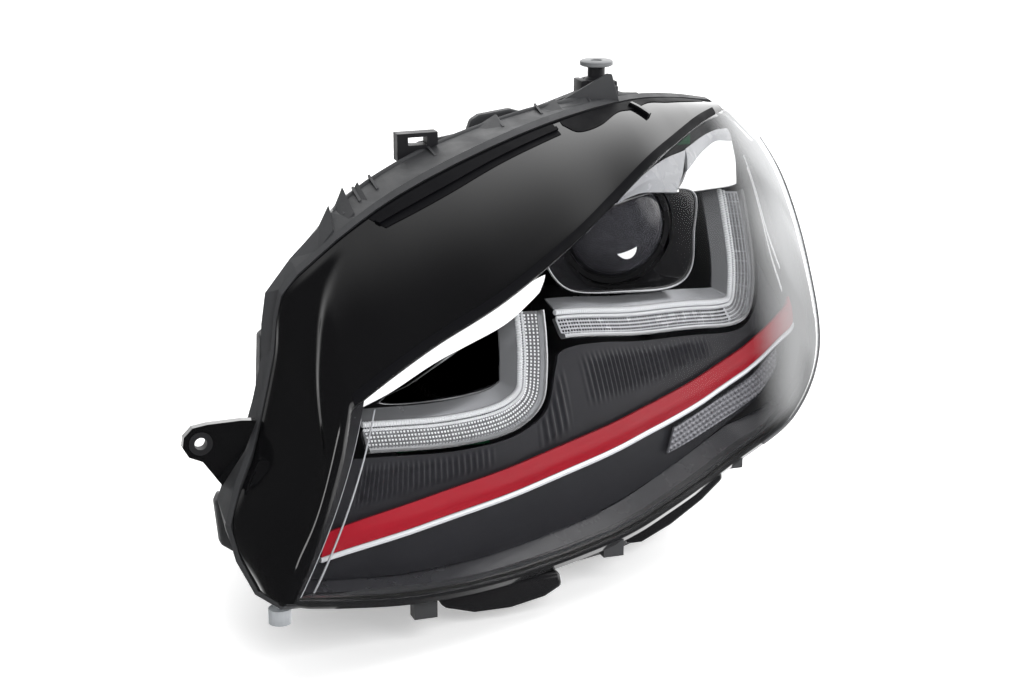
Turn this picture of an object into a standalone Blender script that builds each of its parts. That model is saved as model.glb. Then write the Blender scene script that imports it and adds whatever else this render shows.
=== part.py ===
"""Car headlight assembly: a left-hand swivelling xenon lamp with two U-shaped daytime lights.

The drawing below is in millimetres.  X runs from the grille end to the fender end, Y from the
clear lens to the rear covers and Z upwards.  ORIGIN_SHIFT moves the drawing so that the part's
origin is the centre of its footprint on the floor.
"""
import math

import bmesh
import bpy
import numpy as np
from mathutils import Matrix, Vector

MM = 0.001
ORIGIN_SHIFT = np.array([-207.4, -181.0, 24.0])

# ------------------------------------------------------------------ driving curves of the lens
# Lower and fender edge of the lens, from the grille end round to the rear tip.
LENS_LOW = np.array([
    (0, 0, 40), (41, 9, 31), (100, 25, 21), (171, 50, 16), (259, 90, 17), (316, 118, 27),
    (377, 150, 43), (431, 172, 66), (456.6, 187, 112), (458, 214, 172), (456, 254, 224),
    (449, 287, 254), (441, 314, 274)], float)
# Upper edge of the lens, under the black border, paired with the points above.
LENS_TOP = np.array([
    (54, 45, 150), (84, 59, 163), (124, 78, 178), (178, 101, 196), (238, 135, 221),
    (282, 167, 241), (322, 196, 260), (354, 226, 268), (384, 257, 273), (406, 279, 275),
    (421, 294, 275.5), (432, 305, 275.5), (439.5, 312.5, 275.5)], float)
# How far the lens bulges outwards half way up, at each pair of points.
LENS_BULGE = np.array([9, 11, 13, 15, 17, 17, 16, 14, 11, 8, 5, 2, 0], float)
BULGE_SHAPE = 0.8
# Rear edge of the black border: five points up the inner side, then along the top.
BORDER_REAR = np.array([
    (-9, 36, 38), (-18, 68, 69), (4, 97, 108), (25, 122, 163), (35, 140, 198), (62, 152, 219),
    (92, 162, 237), (125, 174, 252), (172, 192, 267), (228, 216, 280), (275, 238, 287),
    (318, 260, 290), (350, 277, 289), (380, 292, 285), (402, 303, 281), (418, 310, 278),
    (430, 314, 276.5), (441, 318, 275)], float)
# A point inside the lamp, behind every part of the border.
BORDER_INSIDE = np.array([215.0, 250.0, 140.0])
INNER_SIDE_STEPS = 5
# Last control point of the lens edges and of the border, and where the pieces really end.
LENS_LAST, LENS_END_U = 12.0, 11.0
BORDER_LAST, BORDER_END_S = 17.0, 15.0
EDGE_STEP = 0.5
LENS_ROWS = 8

# ------------------------------------------------------------------------- wall thicknesses
LENS_T = 3.0
BORDER_T = 3.0
BORDER_CROWN = 4.0
# The border's crown fades out over its last stretch, and its clearance to the lens is limited.
CROWN_FADE = 6.0
LEAST_SLOPE = 0.4
GAP = 1.0
SEAL_T = 1.5
SEAL_W = 2.6
SEAL_INSET = 0.5
# Near and far faces of the seal behind the rim at the tight lower inner corner.
CORNER_SEAL = (0.4, 1.1)
CORNER_X, CORNER_Z = 5.0, 50.0
RIM_GAP = 0.5
WALL = 3.0

# ----------------------------------------------------------------------- projector placement
AXIS_X = 300.0
AXIS_Z = 212.0
PIVOT_Y = 242.0
BACK_Y = 338.0

# ----------------------------------------- looks of the materials: colour, roughness, metallic
HOUSING_GREY = ((0.075, 0.078, 0.083), 0.60, 0.0)
SATIN_GREY = ((0.060, 0.062, 0.068), 0.40, 0.0)
PIANO_BLACK = ((0.006, 0.006, 0.007), 0.08, 0.0)
SATIN_BLACK = ((0.020, 0.020, 0.022), 0.30, 0.0)
MATTE_BLACK = ((0.020, 0.020, 0.022), 0.65, 0.0)
RUBBER = ((0.020, 0.020, 0.020), 0.85, 0.0)
CLEAR = ((0.900, 0.930, 0.960), 0.05, 0.0)
FROSTED = ((0.500, 0.520, 0.540), 0.30, 0.0)
SLEEVE_GREY = ((0.200, 0.210, 0.220), 0.50, 0.0)
CHROME = ((0.860, 0.870, 0.880), 0.06, 1.0)
DARK_CHROME = ((0.280, 0.290, 0.310), 0.15, 1.0)
CAST_METAL = ((0.600, 0.600, 0.610), 0.45, 1.0)
STEEL = ((0.550, 0.550, 0.560), 0.30, 1.0)
BRASS = ((0.700, 0.550, 0.250), 0.30, 1.0)
WHITE_TRIM = ((0.820, 0.830, 0.840), 0.20, 0.0)
RED = ((0.420, 0.006, 0.020), 0.15, 0.0)
SOLDER_MASK = ((0.030, 0.150, 0.070), 0.45, 0.0)


# =============================================================================== curve helpers
def spline(points, t):
    """Catmull-Rom point at parameter t, one unit of t per control point."""
    last = len(points) - 1
    t = min(max(t, 0.0), float(last))
    i = min(int(t), last - 1)
    f = t - i
    p1, p2 = points[i], points[i + 1]
    p0 = points[i - 1] if i > 0 else 2 * p1 - p2
    p3 = points[i + 2] if i < last - 1 else 2 * p2 - p1
    linear = (p2 - p0) * f
    square = (2 * p0 - 5 * p1 + 4 * p2 - p3) * f * f
    cubic = (3 * p1 - p0 - 3 * p2 + p3) * f ** 3
    return 0.5 * (2 * p1 + linear + square + cubic)


def unit(vector):
    return vector / np.linalg.norm(vector)


def ruled(u, v):
    return spline(LENS_LOW, u) * (1 - v) + spline(LENS_TOP, u) * v


def inward_of(surface, u, v):
    """Unit normal of a lens-like surface, pointing into the lamp."""
    step = 0.02
    along = surface(min(u + step, LENS_LAST), v) - surface(max(u - step, 0.0), v)
    up = surface(u, min(v + step, 1.0)) - surface(u, max(v - step, 0.0))
    return unit(np.cross(up, along))


def skin(u, v):
    """Outer face of the clear lens."""
    if v <= 0.0 or v >= 1.0:
        return ruled(u, v)
    bulge = spline(LENS_BULGE, u) * math.sin(math.pi * v) ** BULGE_SHAPE
    return ruled(u, v) - inward_of(ruled, u, v) * bulge


def behind(u, v, depth):
    """Point at a depth behind the lens face."""
    return skin(u, v) + inward_of(skin, u, v) * depth


def border_front(s):
    """Front edge of the black border: up the inner side of the lens, then along its top."""
    if s <= INNER_SIDE_STEPS:
        return skin(0.0, s / INNER_SIDE_STEPS)
    return spline(LENS_TOP, s - INNER_SIDE_STEPS)


def lens_inward_at_border(s):
    if s <= INNER_SIDE_STEPS:
        return inward_of(skin, 0.0, s / INNER_SIDE_STEPS)
    return inward_of(skin, s - INNER_SIDE_STEPS, 1.0)


def steps(start, stop, count):
    return [start + (stop - start) * i / count for i in range(count + 1)]


# ================================================================================ mesh helpers
def add_node(name, points, faces, look):
    """One closed solid as one named object with its own material."""
    mesh = bpy.data.meshes.new(name)
    mesh.from_pydata([tuple((np.array(p) + ORIGIN_SHIFT) * MM) for p in points], [], faces)
    work = bmesh.new()
    work.from_mesh(mesh)
    bmesh.ops.recalc_face_normals(work, faces=work.faces)
    if work.calc_volume(signed=True) < 0:
        bmesh.ops.reverse_faces(work, faces=work.faces)
    bmesh.ops.triangulate(work, faces=work.faces)
    work.to_mesh(mesh)
    work.free()
    node = bpy.data.objects.new(name, mesh)
    bpy.context.collection.objects.link(node)
    if look is not None:
        material = bpy.data.materials.new(name)
        material.use_nodes = True
        colour, roughness, metallic = look
        surface = material.node_tree.nodes["Principled BSDF"].inputs
        surface["Base Color"].default_value = (*colour, 1.0)
        surface["Roughness"].default_value = roughness
        surface["Metallic"].default_value = metallic
        mesh.materials.append(material)
    return node


def slab(name, front, back, look):
    """Solid between two grids of points that have the same rows and columns."""
    rows, cols = len(front), len(front[0])
    points = [p for row in front for p in row] + [p for row in back for p in row]
    offset = rows * cols

    def at(r, c, side):
        return side * offset + r * cols + c

    faces = []
    for r in range(rows - 1):
        for c in range(cols - 1):
            faces.append((at(r, c, 0), at(r, c + 1, 0), at(r + 1, c + 1, 0), at(r + 1, c, 0)))
            faces.append((at(r, c, 1), at(r + 1, c, 1), at(r + 1, c + 1, 1), at(r, c + 1, 1)))
    for r in range(rows - 1):
        faces.append((at(r, 0, 0), at(r + 1, 0, 0), at(r + 1, 0, 1), at(r, 0, 1)))
        faces.append((at(r, cols - 1, 0), at(r, cols - 1, 1), at(r + 1, cols - 1, 1),
                      at(r + 1, cols - 1, 0)))
    for c in range(cols - 1):
        faces.append((at(0, c, 0), at(0, c, 1), at(0, c + 1, 1), at(0, c + 1, 0)))
        faces.append((at(rows - 1, c, 0), at(rows - 1, c + 1, 0), at(rows - 1, c + 1, 1),
                      at(rows - 1, c, 1)))
    return add_node(name, points, faces, look)


def loft(name, rings, look, ends="cap"):
    """Solid through rings of equal length; ends are capped, or the last ring meets the first."""
    count = len(rings[0])
    points = [p for ring in rings for p in ring]
    faces = []
    spans = len(rings) if ends == "join" else len(rings) - 1
    for r in range(spans):
        a, b = r * count, (r + 1) % len(rings) * count
        for c in range(count):
            d = (c + 1) % count
            faces.append((a + c, a + d, b + d, b + c))
    if ends == "cap":
        faces.append(tuple(range(count)))
        faces.append(tuple(reversed(range((len(rings) - 1) * count, len(rings) * count))))
    return add_node(name, points, faces, look)


def sweep(name, path, inward, profile, look):
    """Solid swept along a path; profile(i) gives (side, depth) corners at each path point."""
    rings = []
    for i, point in enumerate(path):
        tangent = unit(path[min(i + 1, len(path) - 1)] - path[max(i - 1, 0)])
        side = unit(np.cross(tangent, inward[i]))
        deep = unit(np.cross(side, tangent))
        rings.append([point + side * s + deep * d for s, d in profile(i)])
    return loft(name, rings, look)


# A turned profile's radius below this lies on the axis.
ON_AXIS = 1e-6


def turned(name, profile, centre, axis, look, segments=24):
    """Solid of revolution; profile is (radius, height along the axis) from one end round."""
    axis = unit(np.array(axis, float))
    other = np.array([0, 0, 1.0]) if abs(axis[2]) < 0.9 else np.array([1.0, 0, 0])
    right = unit(np.cross(other, axis))
    up = np.cross(axis, right)
    points, index = [], []
    for radius, height in profile:
        base = np.array(centre, float) + axis * height
        if radius < ON_AXIS:
            index.append([len(points)] * segments)
            points.append(base)
            continue
        index.append(list(range(len(points), len(points) + segments)))
        for k in range(segments):
            angle = 2 * math.pi * k / segments
            points.append(base + (right * math.cos(angle) + up * math.sin(angle)) * radius)
    faces = []
    solid = profile[0][0] < ON_AXIS
    spans = len(profile) - 1 if solid else len(profile)
    for r in range(spans):
        a, b = index[r], index[(r + 1) % len(profile)]
        for k in range(segments):
            n = (k + 1) % segments
            corners = []
            for corner in (a[k], a[n], b[n], b[k]):
                if corner not in corners:
                    corners.append(corner)
            if len(corners) > 2:
                faces.append(tuple(corners))
    return add_node(name, points, faces, look)


def disc(name, radius, low, high, centre, axis, look, segments=24):
    return turned(name, [(0, low), (radius, low), (radius, high), (0, high)],
                  centre, axis, look, segments)


def tube(name, inner, outer, low, high, centre, axis, look, segments=24):
    return turned(name, [(inner, low), (outer, low), (outer, high), (inner, high)],
                  centre, axis, look, segments)


def box(name, low, high, look=None):
    (x0, y0, z0), (x1, y1, z1) = low, high
    near = [np.array(p, float) for p in ((x0, y0, z0), (x1, y0, z0), (x1, y1, z0), (x0, y1, z0))]
    far = [np.array(p, float) for p in ((x0, y0, z1), (x1, y0, z1), (x1, y1, z1), (x0, y1, z1))]
    return loft(name, [near, far], look)


def prism(name, outline, y0, y1, look=None):
    """Outline in (x, z) pushed from y0 to y1."""
    near = [np.array((x, y0, z), float) for x, z in outline]
    far = [np.array((x, y1, z), float) for x, z in outline]
    return loft(name, [near, far], look)


def combine(target, tools, operation):
    """Exact Boolean of tools into target; the tools are removed."""
    for tool in tools:
        modifier = target.modifiers.new("step", "BOOLEAN")
        modifier.operation = operation
        modifier.solver = "EXACT"
        modifier.object = tool
        graph = bpy.context.evaluated_depsgraph_get()
        result = bpy.data.meshes.new_from_object(target.evaluated_get(graph))
        target.modifiers.clear()
        old = target.data
        target.data = result
        result.name = target.name
        bpy.data.meshes.remove(old)
        bpy.data.objects.remove(tool)
    return target


def join(target, tools):
    return combine(target, tools, "UNION")


def cut(target, tools):
    return combine(target, tools, "DIFFERENCE")


# ============================================================================== lens and border
def uv_slab(name, low, high, shallow, deep, cols, rows, look):
    """Plate following the lens between two edges given as (u, v) points."""
    low, high = np.array(low, float), np.array(high, float)
    fronts, backs = [], []
    for t in steps(0.0, len(low) - 1.0, cols):
        a, b = spline(low, t), spline(high, t)
        cells = [a + (b - a) * f for f in steps(0.0, 1.0, rows)]
        fronts.append([behind(u, v, shallow) for u, v in cells])
        backs.append([behind(u, v, deep) for u, v in cells])
    return slab(name, fronts, backs, look)


def lens_stations():
    return steps(0.0, LENS_END_U, round(LENS_END_U / EDGE_STEP))


def border_stations():
    return steps(0.0, BORDER_END_S, round(BORDER_END_S / EDGE_STEP))


def build_outer_lens():
    fronts = [[behind(u, v, 0.0) for v in steps(0.0, 1.0, LENS_ROWS)] for u in lens_stations()]
    backs = [[behind(u, v, LENS_T) for v in steps(0.0, 1.0, LENS_ROWS)] for u in lens_stations()]
    slab("outer_lens", fronts, backs, CLEAR)


def border_inward(s):
    """Unit normal of the border at its rear edge, pointing into the lamp."""
    step = 0.05
    ahead, before = min(s + step, BORDER_LAST), max(s - step, 0.0)
    along = spline(BORDER_REAR, ahead) - spline(BORDER_REAR, before)
    across = spline(BORDER_REAR, s) - border_front(s)
    normal = unit(np.cross(along, across))
    inside = BORDER_INSIDE - spline(BORDER_REAR, s)
    return normal if np.dot(normal, inside) > 0 else -normal


def border_rows():
    fronts, backs = [], []
    for s in border_stations()[1:]:
        front, rear = border_front(s), spline(BORDER_REAR, s)
        across = unit(rear - front)
        clear = (LENS_T + GAP) / max(np.dot(across, lens_inward_at_border(s)), LEAST_SLOPE)
        start = front + across * clear
        inward = border_inward(s)
        row = []
        for f in steps(0.0, 1.0, 5):
            flatter = min(1.0, (BORDER_LAST - s) / CROWN_FADE)
            crown = BORDER_CROWN * math.sin(math.pi * f) * flatter
            row.append(start + (rear - start) * f - inward * crown)
        fronts.append(row)
        backs.append([p + inward * BORDER_T for p in row])
    return fronts, backs


def build_border():
    fronts, backs = border_rows()
    slab("lens_border", fronts, backs, PIANO_BLACK)


# ===================================================================== housing and its front rim
# Widest section of the housing as (x, y, z), paired with LENS_LOW and BORDER_REAR.
HOUSING_LOW = np.array([
    (10, 62, 22), (48, 88, 8), (108, 122, -20), (170, 122, -20), (250, 150, -20), (312, 170, -16),
    (362, 190, 14), (402, 215, 50), (428, 240, 100), (436, 262, 160), (438, 285, 215),
    (437, 305, 248), (433, 322, 266)], float)
HOUSING_TOP = np.array([
    (-13, 84, 36), (-22, 108, 76), (-2, 122, 108), (18, 140, 160), (26, 158, 200),
    (68, 178, 236), (92, 198, 250), (122, 212, 264), (168, 232, 278), (228, 252, 290),
    (272, 262, 296), (314, 275, 297), (344, 291, 293), (370, 306, 288), (392, 318, 282),
    (408, 324, 277), (420, 327, 270), (428, 329, 264)], float)
# Outline of the flat back wall as (x, z), paired with the same points.
BACK_LOW = np.array([
    (78, -5), (95, -18), (125, -20), (170, -20), (240, -20), (300, -18), (340, 0), (370, 35),
    (392, 85), (402, 140), (408, 190), (410, 222), (410, 240)], float)
BACK_TOP = np.array([
    (70, 20), (66, 76), (72, 110), (88, 150), (98, 185), (118, 215), (135, 228), (155, 238),
    (185, 248), (228, 256), (272, 262), (314, 264), (342, 264), (366, 262), (384, 258),
    (396, 254), (404, 250), (410, 246)], float)
BACK_SHOULDER = 12.0
SHOULDER_PULL = 0.08
INSIDE = np.array([230.0, 230.0, 130.0])
# Front flange of the housing: how far it stands out and in, and where it steps into the body.
LIP_OUT, LIP_IN, NECK_IN = -2.0, 5.0, 1.0
FLANGE_BACK, NECK_BACK = 6.0, 8.0


def dipped(back, place):
    """Turn the rim downwards at the lower inner corner, where it runs front to back."""
    amount = max(0.0, 0.8 - 0.6 * place)
    return unit(back + np.array([0.0, 0.0, -amount]))


def lens_edge_back(u):
    """Unit direction straight back from the lens's lower edge strip."""
    step = 0.05
    up = skin(u, 1.0 / LENS_ROWS) - skin(u, 0.0)
    along = skin(min(u + step, LENS_LAST), 0.0) - skin(max(u - step, 0.0), 0.0)
    return unit(np.cross(up, along))


def rim_stations():
    """Front rim as (point, back direction, inner direction, housing section, back wall point)."""
    places = []
    for u in lens_stations():
        back = dipped(lens_edge_back(u), u)
        places.append((behind(u, 0.0, LENS_T), back, spline(HOUSING_LOW, u), spline(BACK_LOW, u)))
    tip = LENS_END_U + INNER_SIDE_STEPS
    places.append((behind(LENS_END_U, 1.0, LENS_T), inward_of(skin, LENS_END_U, 1.0),
                   spline(HOUSING_TOP, tip), spline(BACK_TOP, tip)))
    for s in reversed(border_stations()):
        rear = spline(BORDER_REAR, s)
        back = dipped(unit(rear - border_front(s)), s)
        places.append((rear, back, spline(HOUSING_TOP, s), spline(BACK_TOP, s)))
    stations = []
    for i, (point, back, section, wall) in enumerate(places):
        along = places[(i + 1) % len(places)][0] - places[i - 1][0]
        inner = unit(np.cross(along, back))
        if np.dot(inner, INSIDE - point) < 0:
            inner = -inner
        stations.append((point, back, inner, section, wall))
    return stations


def build_seal(stations):
    rings = []
    for point, back, inner, _, _ in stations:
        at_corner = point[0] < CORNER_X and point[2] < CORNER_Z
        near, far = CORNER_SEAL if at_corner else (GAP, GAP + SEAL_T)
        low, high = SEAL_INSET, SEAL_INSET + SEAL_W
        rings.append([point + back * near + inner * low, point + back * near + inner * high,
                      point + back * far + inner * high, point + back * far + inner * low])
    loft("lens_seal", rings, RUBBER, ends="join")


def housing_rings(stations):
    """Outer rings from the rim to the back wall, and inner rings one wall thickness inside."""
    flange = GAP + SEAL_T + GAP + RIM_GAP
    outer = [[p + b * flange + w * LIP_OUT for p, b, w, _, _ in stations],
             [p + b * (flange + FLANGE_BACK) + w * LIP_OUT for p, b, w, _, _ in stations],
             [p + b * (flange + NECK_BACK) + w * NECK_IN for p, b, w, _, _ in stations]]
    middle = [section for _, _, _, section, _ in stations]
    shoulder = [np.array([flat[0], BACK_Y - BACK_SHOULDER, flat[1]])
                for _, _, _, _, flat in stations]
    between = [(a + b) / 2 for a, b in zip(middle, shoulder)]
    edge = []
    for point in shoulder:
        pulled = point + (INSIDE - point) * SHOULDER_PULL
        edge.append(np.array([pulled[0], BACK_Y, pulled[2]]))
    outer += [middle, between, shoulder, edge]
    inner = [[p + b * flange + w * LIP_IN for p, b, w, _, _ in stations],
             [p + b * (flange + NECK_BACK) + w * LIP_IN for p, b, w, _, _ in stations]]
    inner += [thinned(outer, k) for k in range(3, len(outer))]
    inner[-1] = [np.array([p[0], BACK_Y - WALL, p[2]]) for p in inner[-1]]
    inner[-2] = [np.array([p[0], min(p[1], BACK_Y - BACK_SHOULDER), p[2]]) for p in inner[-2]]
    return outer, inner


def thinned(outer, k):
    """Ring k moved inwards, square to the wall, by the wall thickness."""
    ring, count = outer[k], len(outer[k])
    ahead, before = outer[min(k + 1, len(outer) - 1)], outer[k - 1]
    result = []
    for i, point in enumerate(ring):
        along = ring[(i + 1) % count] - ring[i - 1]
        normal = unit(np.cross(along, ahead[i] - before[i]))
        if np.dot(normal, INSIDE - point) < 0:
            normal = -normal
        result.append(point + normal * WALL)
    return result


# Round service openings in the back wall, as (x, z, opening radius).
LOW_BEAM = (AXIS_X, AXIS_Z, 46.0)
HIGH_BEAM = (150.0, 150.0, 34.0)
COLLAR_T = 4.0
COLLAR_TOP = BACK_Y + 9.0
BACKWARDS = (0, 1, 0)
UPWARDS = (0, 0, 1)
SIDEWAYS = (1, 0, 0)
TILT_LEVER = 64.0
ROD_X = AXIS_X + 24.0
SHUTTER_Y, SHUTTER_DROP = 254.8, 38.0
PIN_R = 3.0
BORE_R = 3.05
EAR_X = 66.0
EAR_T = 5.0
AIM_SCREWS = ((376.0, 100.0), (224.0, 120.0))
MOUNT_X, MOUNT_Y, MOUNT_BASE_Z = 311.0, 281.0, 304.0
STUD_BORE_R = 5.33
LUG_Y, LUG_T = 106.0, 6.0
LUG_HOLE = (-32.0, 116.0)
CLIP_Y, CLIP_T = 226.0, 10.0
# The clip's lower edge follows the slope of the housing under it.
CLIP_OUTLINE = ((140, 268.4), (148, 272.1), (155, 274.9), (162, 276.4), (170, 278.9),
                (170, 288), (140, 288))
SOCKET = (330.0, 60.0)
FLOOR_Z, FOOT_TOP_Z, FOOT_R = -24.0, -16.0, 10.0
SPLIT_Y, SPLIT_GAP, EVERYWHERE = 321.1, 0.3, 1000.0
FEET = ((140, 150), (285, 190), (140, 308), (290, 308))


def y_tube(name, x, z, inner, outer, y0, y1, look=None, segments=24):
    return tube(name, inner, outer, y0, y1, (x, 0, z), BACKWARDS, look, segments)


def y_disc(name, x, z, radius, y0, y1, look=None, segments=24):
    return disc(name, radius, y0, y1, (x, 0, z), BACKWARDS, look, segments)


def front_additions():
    """Feet, tabs and the upper mounting turret, moulded in one with the front tub."""
    parts = []
    for x, y in FEET:
        parts.append(disc("foot", FOOT_R, FLOOR_Z, FOOT_TOP_Z, (x, y, 0), UPWARDS, None, 20))
    parts.append(prism("turret", ((MOUNT_X - 13, 288), (MOUNT_X + 13, 288),
                                  (MOUNT_X + 13, MOUNT_BASE_Z), (MOUNT_X - 13, MOUNT_BASE_Z)),
                       MOUNT_Y - 12, MOUNT_Y + 12))
    parts.append(prism("ramp", ((248, 286), (MOUNT_X - 12, 286), (MOUNT_X - 12, 302)),
                       MOUNT_Y - 6, MOUNT_Y))
    parts.append(prism("flank", ((MOUNT_X + 12, 284), (354, 284), (354, 290),
                                 (MOUNT_X + 12, 299)), MOUNT_Y + 8, MOUNT_Y + 12))
    parts.append(box("lower_tab", (94, 42, -1), (110, 52, 20)))
    parts.append(box("lower_tab", (250, 98, 2), (265, 108, 17.5)))
    parts.append(box("lower_tab", (371, 158, 34), (383, 166, 43)))
    return parts


def rear_additions():
    """Collars for the covers, ears for the aim frame, motor bed and plug base."""
    parts = []
    for x, z, radius in (LOW_BEAM, HIGH_BEAM):
        parts.append(y_tube("collar", x, z, radius, radius + COLLAR_T, BACK_Y - 1, COLLAR_TOP))
    for side in (-1, 1):
        x0 = AXIS_X + side * EAR_X
        x1 = x0 + side * EAR_T
        parts.append(box("ear", (min(x0, x1), PIVOT_Y - 10, AXIS_Z - 9),
                         (max(x0, x1), BACK_Y - 1, AXIS_Z + 9)))
    parts.append(box("motor_bed", (ROD_X - 16, 318, AXIS_Z - 92),
                     (ROD_X + 16, BACK_Y - 1, AXIS_Z - 86)))
    parts.append(box("socket_body", (SOCKET[0] - 20, BACK_Y - 1, SOCKET[1] - 13),
                     (SOCKET[0] + 20, BACK_Y + 1.5, SOCKET[1] + 13)))
    return parts


def rear_cuts():
    parts = []
    for x, z, radius in (LOW_BEAM, HIGH_BEAM):
        parts.append(y_disc("opening", x, z, radius, BACK_Y - 8, BACK_Y + 3))
    parts.append(disc("pin_bore", BORE_R, AXIS_X - 90, AXIS_X + 90, (0, PIVOT_Y, AXIS_Z),
                      SIDEWAYS, None))
    for x, z in AIM_SCREWS:
        parts.append(y_disc("screw_bore", x, z, BORE_R, BACK_Y - 8, BACK_Y + 3))
    parts.append(box("socket_hole", (SOCKET[0] - 15, BACK_Y - 8, SOCKET[1] - 8),
                     (SOCKET[0] + 15, BACK_Y + 4, SOCKET[1] + 8)))
    return parts


def half_space(y0, y1):
    """A block that holds everything between two depths."""
    return box("half", (-EVERYWHERE, y0, -EVERYWHERE), (EVERYWHERE, y1, EVERYWHERE))


def build_housing(stations):
    """Front tub and rear wall, which meet at a joint line just in front of the back."""
    outer, inner = housing_rings(stations)
    rings = list(reversed(outer)) + inner
    tub = loft("housing", rings, HOUSING_GREY)
    cut(tub, [half_space(SPLIT_Y - SPLIT_GAP / 2, EVERYWHERE)])
    join(tub, front_additions())
    cut(tub, [disc("stud_bore", STUD_BORE_R, 292, 320, (MOUNT_X, MOUNT_Y, 0), UPWARDS, None)])
    rear = loft("rear_housing", rings, HOUSING_GREY)
    cut(rear, [half_space(-EVERYWHERE, SPLIT_Y + SPLIT_GAP / 2)])
    join(rear, rear_additions())
    cut(rear, rear_cuts())


# =========================================================================== front trim and lights
# Lower lamp face: edges as (u, v) on the lens, u along it and v from its lower to its upper edge.
BEZEL_LOW = ((0.2, .07), (1, .06), (1.7, .06), (2.3, .06), (2.94, .06), (3.3, .06), (3.6, .06),
             (3.9, .065), (4.2, .07), (4.7, .07), (5.3, .07), (6.1, .08), (6.7, .09), (7.2, .1),
             (7.7, .11), (8.1, .12))
BEZEL_HIGH = ((0.2, .73), (1, .66), (1.7, .595), (2.3, .54), (2.94, .50), (3.25, .50),
              (3.48, .535), (3.64, .66), (3.78, .70), (4.4, .63), (5.08, .54), (6.16, .41),
              (6.8, .345), (7.2, .33), (7.62, .35), (8.0, .41))
STRIP_HIGH = ((0.40, .31), (0.70, .336), (1.61, .375), (2.39, .392), (3.10, .39), (3.75, .38),
              (4.72, .346), (5.84, .302), (6.66, .29), (7.17, .272), (7.77, .22), (8.35, .13))
STRIP_LOW = ((0.55, .165), (0.86, .186), (1.68, .235), (2.41, .264), (3.11, .271), (3.73, .27),
             (4.66, .249), (5.75, .213), (6.51, .206), (6.96, .198), (7.48, .165), (8.02, .09))
SMALL_U = ((1.01, .68), (1.7, .615), (2.30, .56), (2.94, .52), (3.25, .525), (3.44, .57),
           (3.53, .67), (3.59, .77), (3.64, .87))
LARGE_U = ((3.80, .735), (4.4, .65), (5.08, .56), (6.16, .43), (6.80, .365), (7.20, .35),
           (7.60, .39), (8.28, .49), (9.0, .55))
U_DEPTH = 22.0
BEZEL_DEPTH = 23.0
STRIP_DEPTH = 18.0
# The red strip takes this share of the band, then comes a gap, then the chrome line.
RED_SHARE, STRIP_GAP = 0.79, 0.03
TRIM_T = 2.5


def split_band(low, high, start, stop):
    """The part of a band between two fractions of the way from its high to its low edge."""
    low, high = np.array(low), np.array(high)
    return high + (low - high) * stop, high + (low - high) * start


def build_bezel():
    uv_slab("bezel", BEZEL_LOW, BEZEL_HIGH, BEZEL_DEPTH, BEZEL_DEPTH + TRIM_T, 26, 4, SATIN_GREY)


def build_strips():
    low, high = split_band(STRIP_LOW, STRIP_HIGH, 0.0, RED_SHARE)
    uv_slab("red_trim_strip", low, high, STRIP_DEPTH, STRIP_DEPTH + TRIM_T, 24, 1, RED)
    low, high = split_band(STRIP_LOW, STRIP_HIGH, RED_SHARE + STRIP_GAP, 1.0)
    uv_slab("chrome_trim_strip", low, high, STRIP_DEPTH, STRIP_DEPTH + TRIM_T, 24, 1, CHROME)


def u_path(points, count):
    points = np.array(points)
    places = [spline(points, t) for t in steps(0.0, len(points) - 1.0, count)]
    path = [behind(u, v, U_DEPTH) for u, v in places]
    return path, [inward_of(skin, u, v) for u, v in places]


def build_daytime_light(side, points, count):
    """Chrome U-shaped trough with its clear light guide."""
    path, inward = u_path(points, count)
    trough = [(0, 0), (3, -1), (5, 1), (15, 8), (15, 11), (4, 4.5), (0, 4)]
    guide = [(15.6, 5), (21, 5), (22, 7), (22, 10.5), (15.6, 10.5)]
    sweep(side + "_daytime_reflector", path, inward, lambda i: trough, CHROME)
    sweep(side + "_light_guide", path, inward, lambda i: guide, CLEAR)


def ring_about(points, centre, count):
    """Closed curve through points given round a centre, resampled at equal angles in x and z."""
    closed = [points[-1]] + list(points) + [points[0], points[1]]
    curve = []
    for i in range(1, len(points) + 1):
        for f in steps(0.0, 1.0, 16)[:-1]:
            curve.append(spline(np.array(closed, float), i + f))
    angles = [math.atan2(p[2] - centre[1], p[0] - centre[0]) for p in curve]
    ring = []
    for k in range(count):
        goal = -math.pi + 2 * math.pi * (k + 0.5) / count
        gaps = [abs((a - goal + math.pi) % (2 * math.pi) - math.pi) for a in angles]
        ring.append(curve[gaps.index(min(gaps))])
    return ring


def circle_at(centre, radius, y, count):
    ring = []
    for k in range(count):
        angle = -math.pi + 2 * math.pi * (k + 0.5) / count
        ring.append(np.array([centre[0] + radius * math.cos(angle), y,
                              centre[1] + radius * math.sin(angle)]))
    return ring


def shrunk(ring, centre, amount, setback=0.0):
    result = []
    for p in ring:
        flat = np.array([centre[0] - p[0], 0.0, centre[1] - p[2]])
        result.append(p + unit(flat) * amount + np.array([0, setback, 0]))
    return result


def funnel(name, rings, centre, thickness, look):
    """Open-ended tapering wall through rings from the front to the back."""
    inside = [shrunk(ring, centre, thickness, 0.0) for ring in rings]
    loft(name, rings + list(reversed(inside)), look, ends="join")


SHROUD_RIM = ((226, 152, 203), (244, 152, 184), (290, 168, 175), (335, 187, 170),
              (354, 196, 180), (360, 206, 205), (362, 211, 232), (338, 206, 238),
              (300, 192, 236), (258, 176, 230), (232, 160, 218))
INNER_RIM = ((82, 84, 140), (104, 91, 134), (150, 104, 131), (178, 113, 136), (189, 121, 155),
             (188, 128, 176), (170, 118, 172), (140, 106, 160), (105, 92, 146))
RING_COUNT = 28


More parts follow.
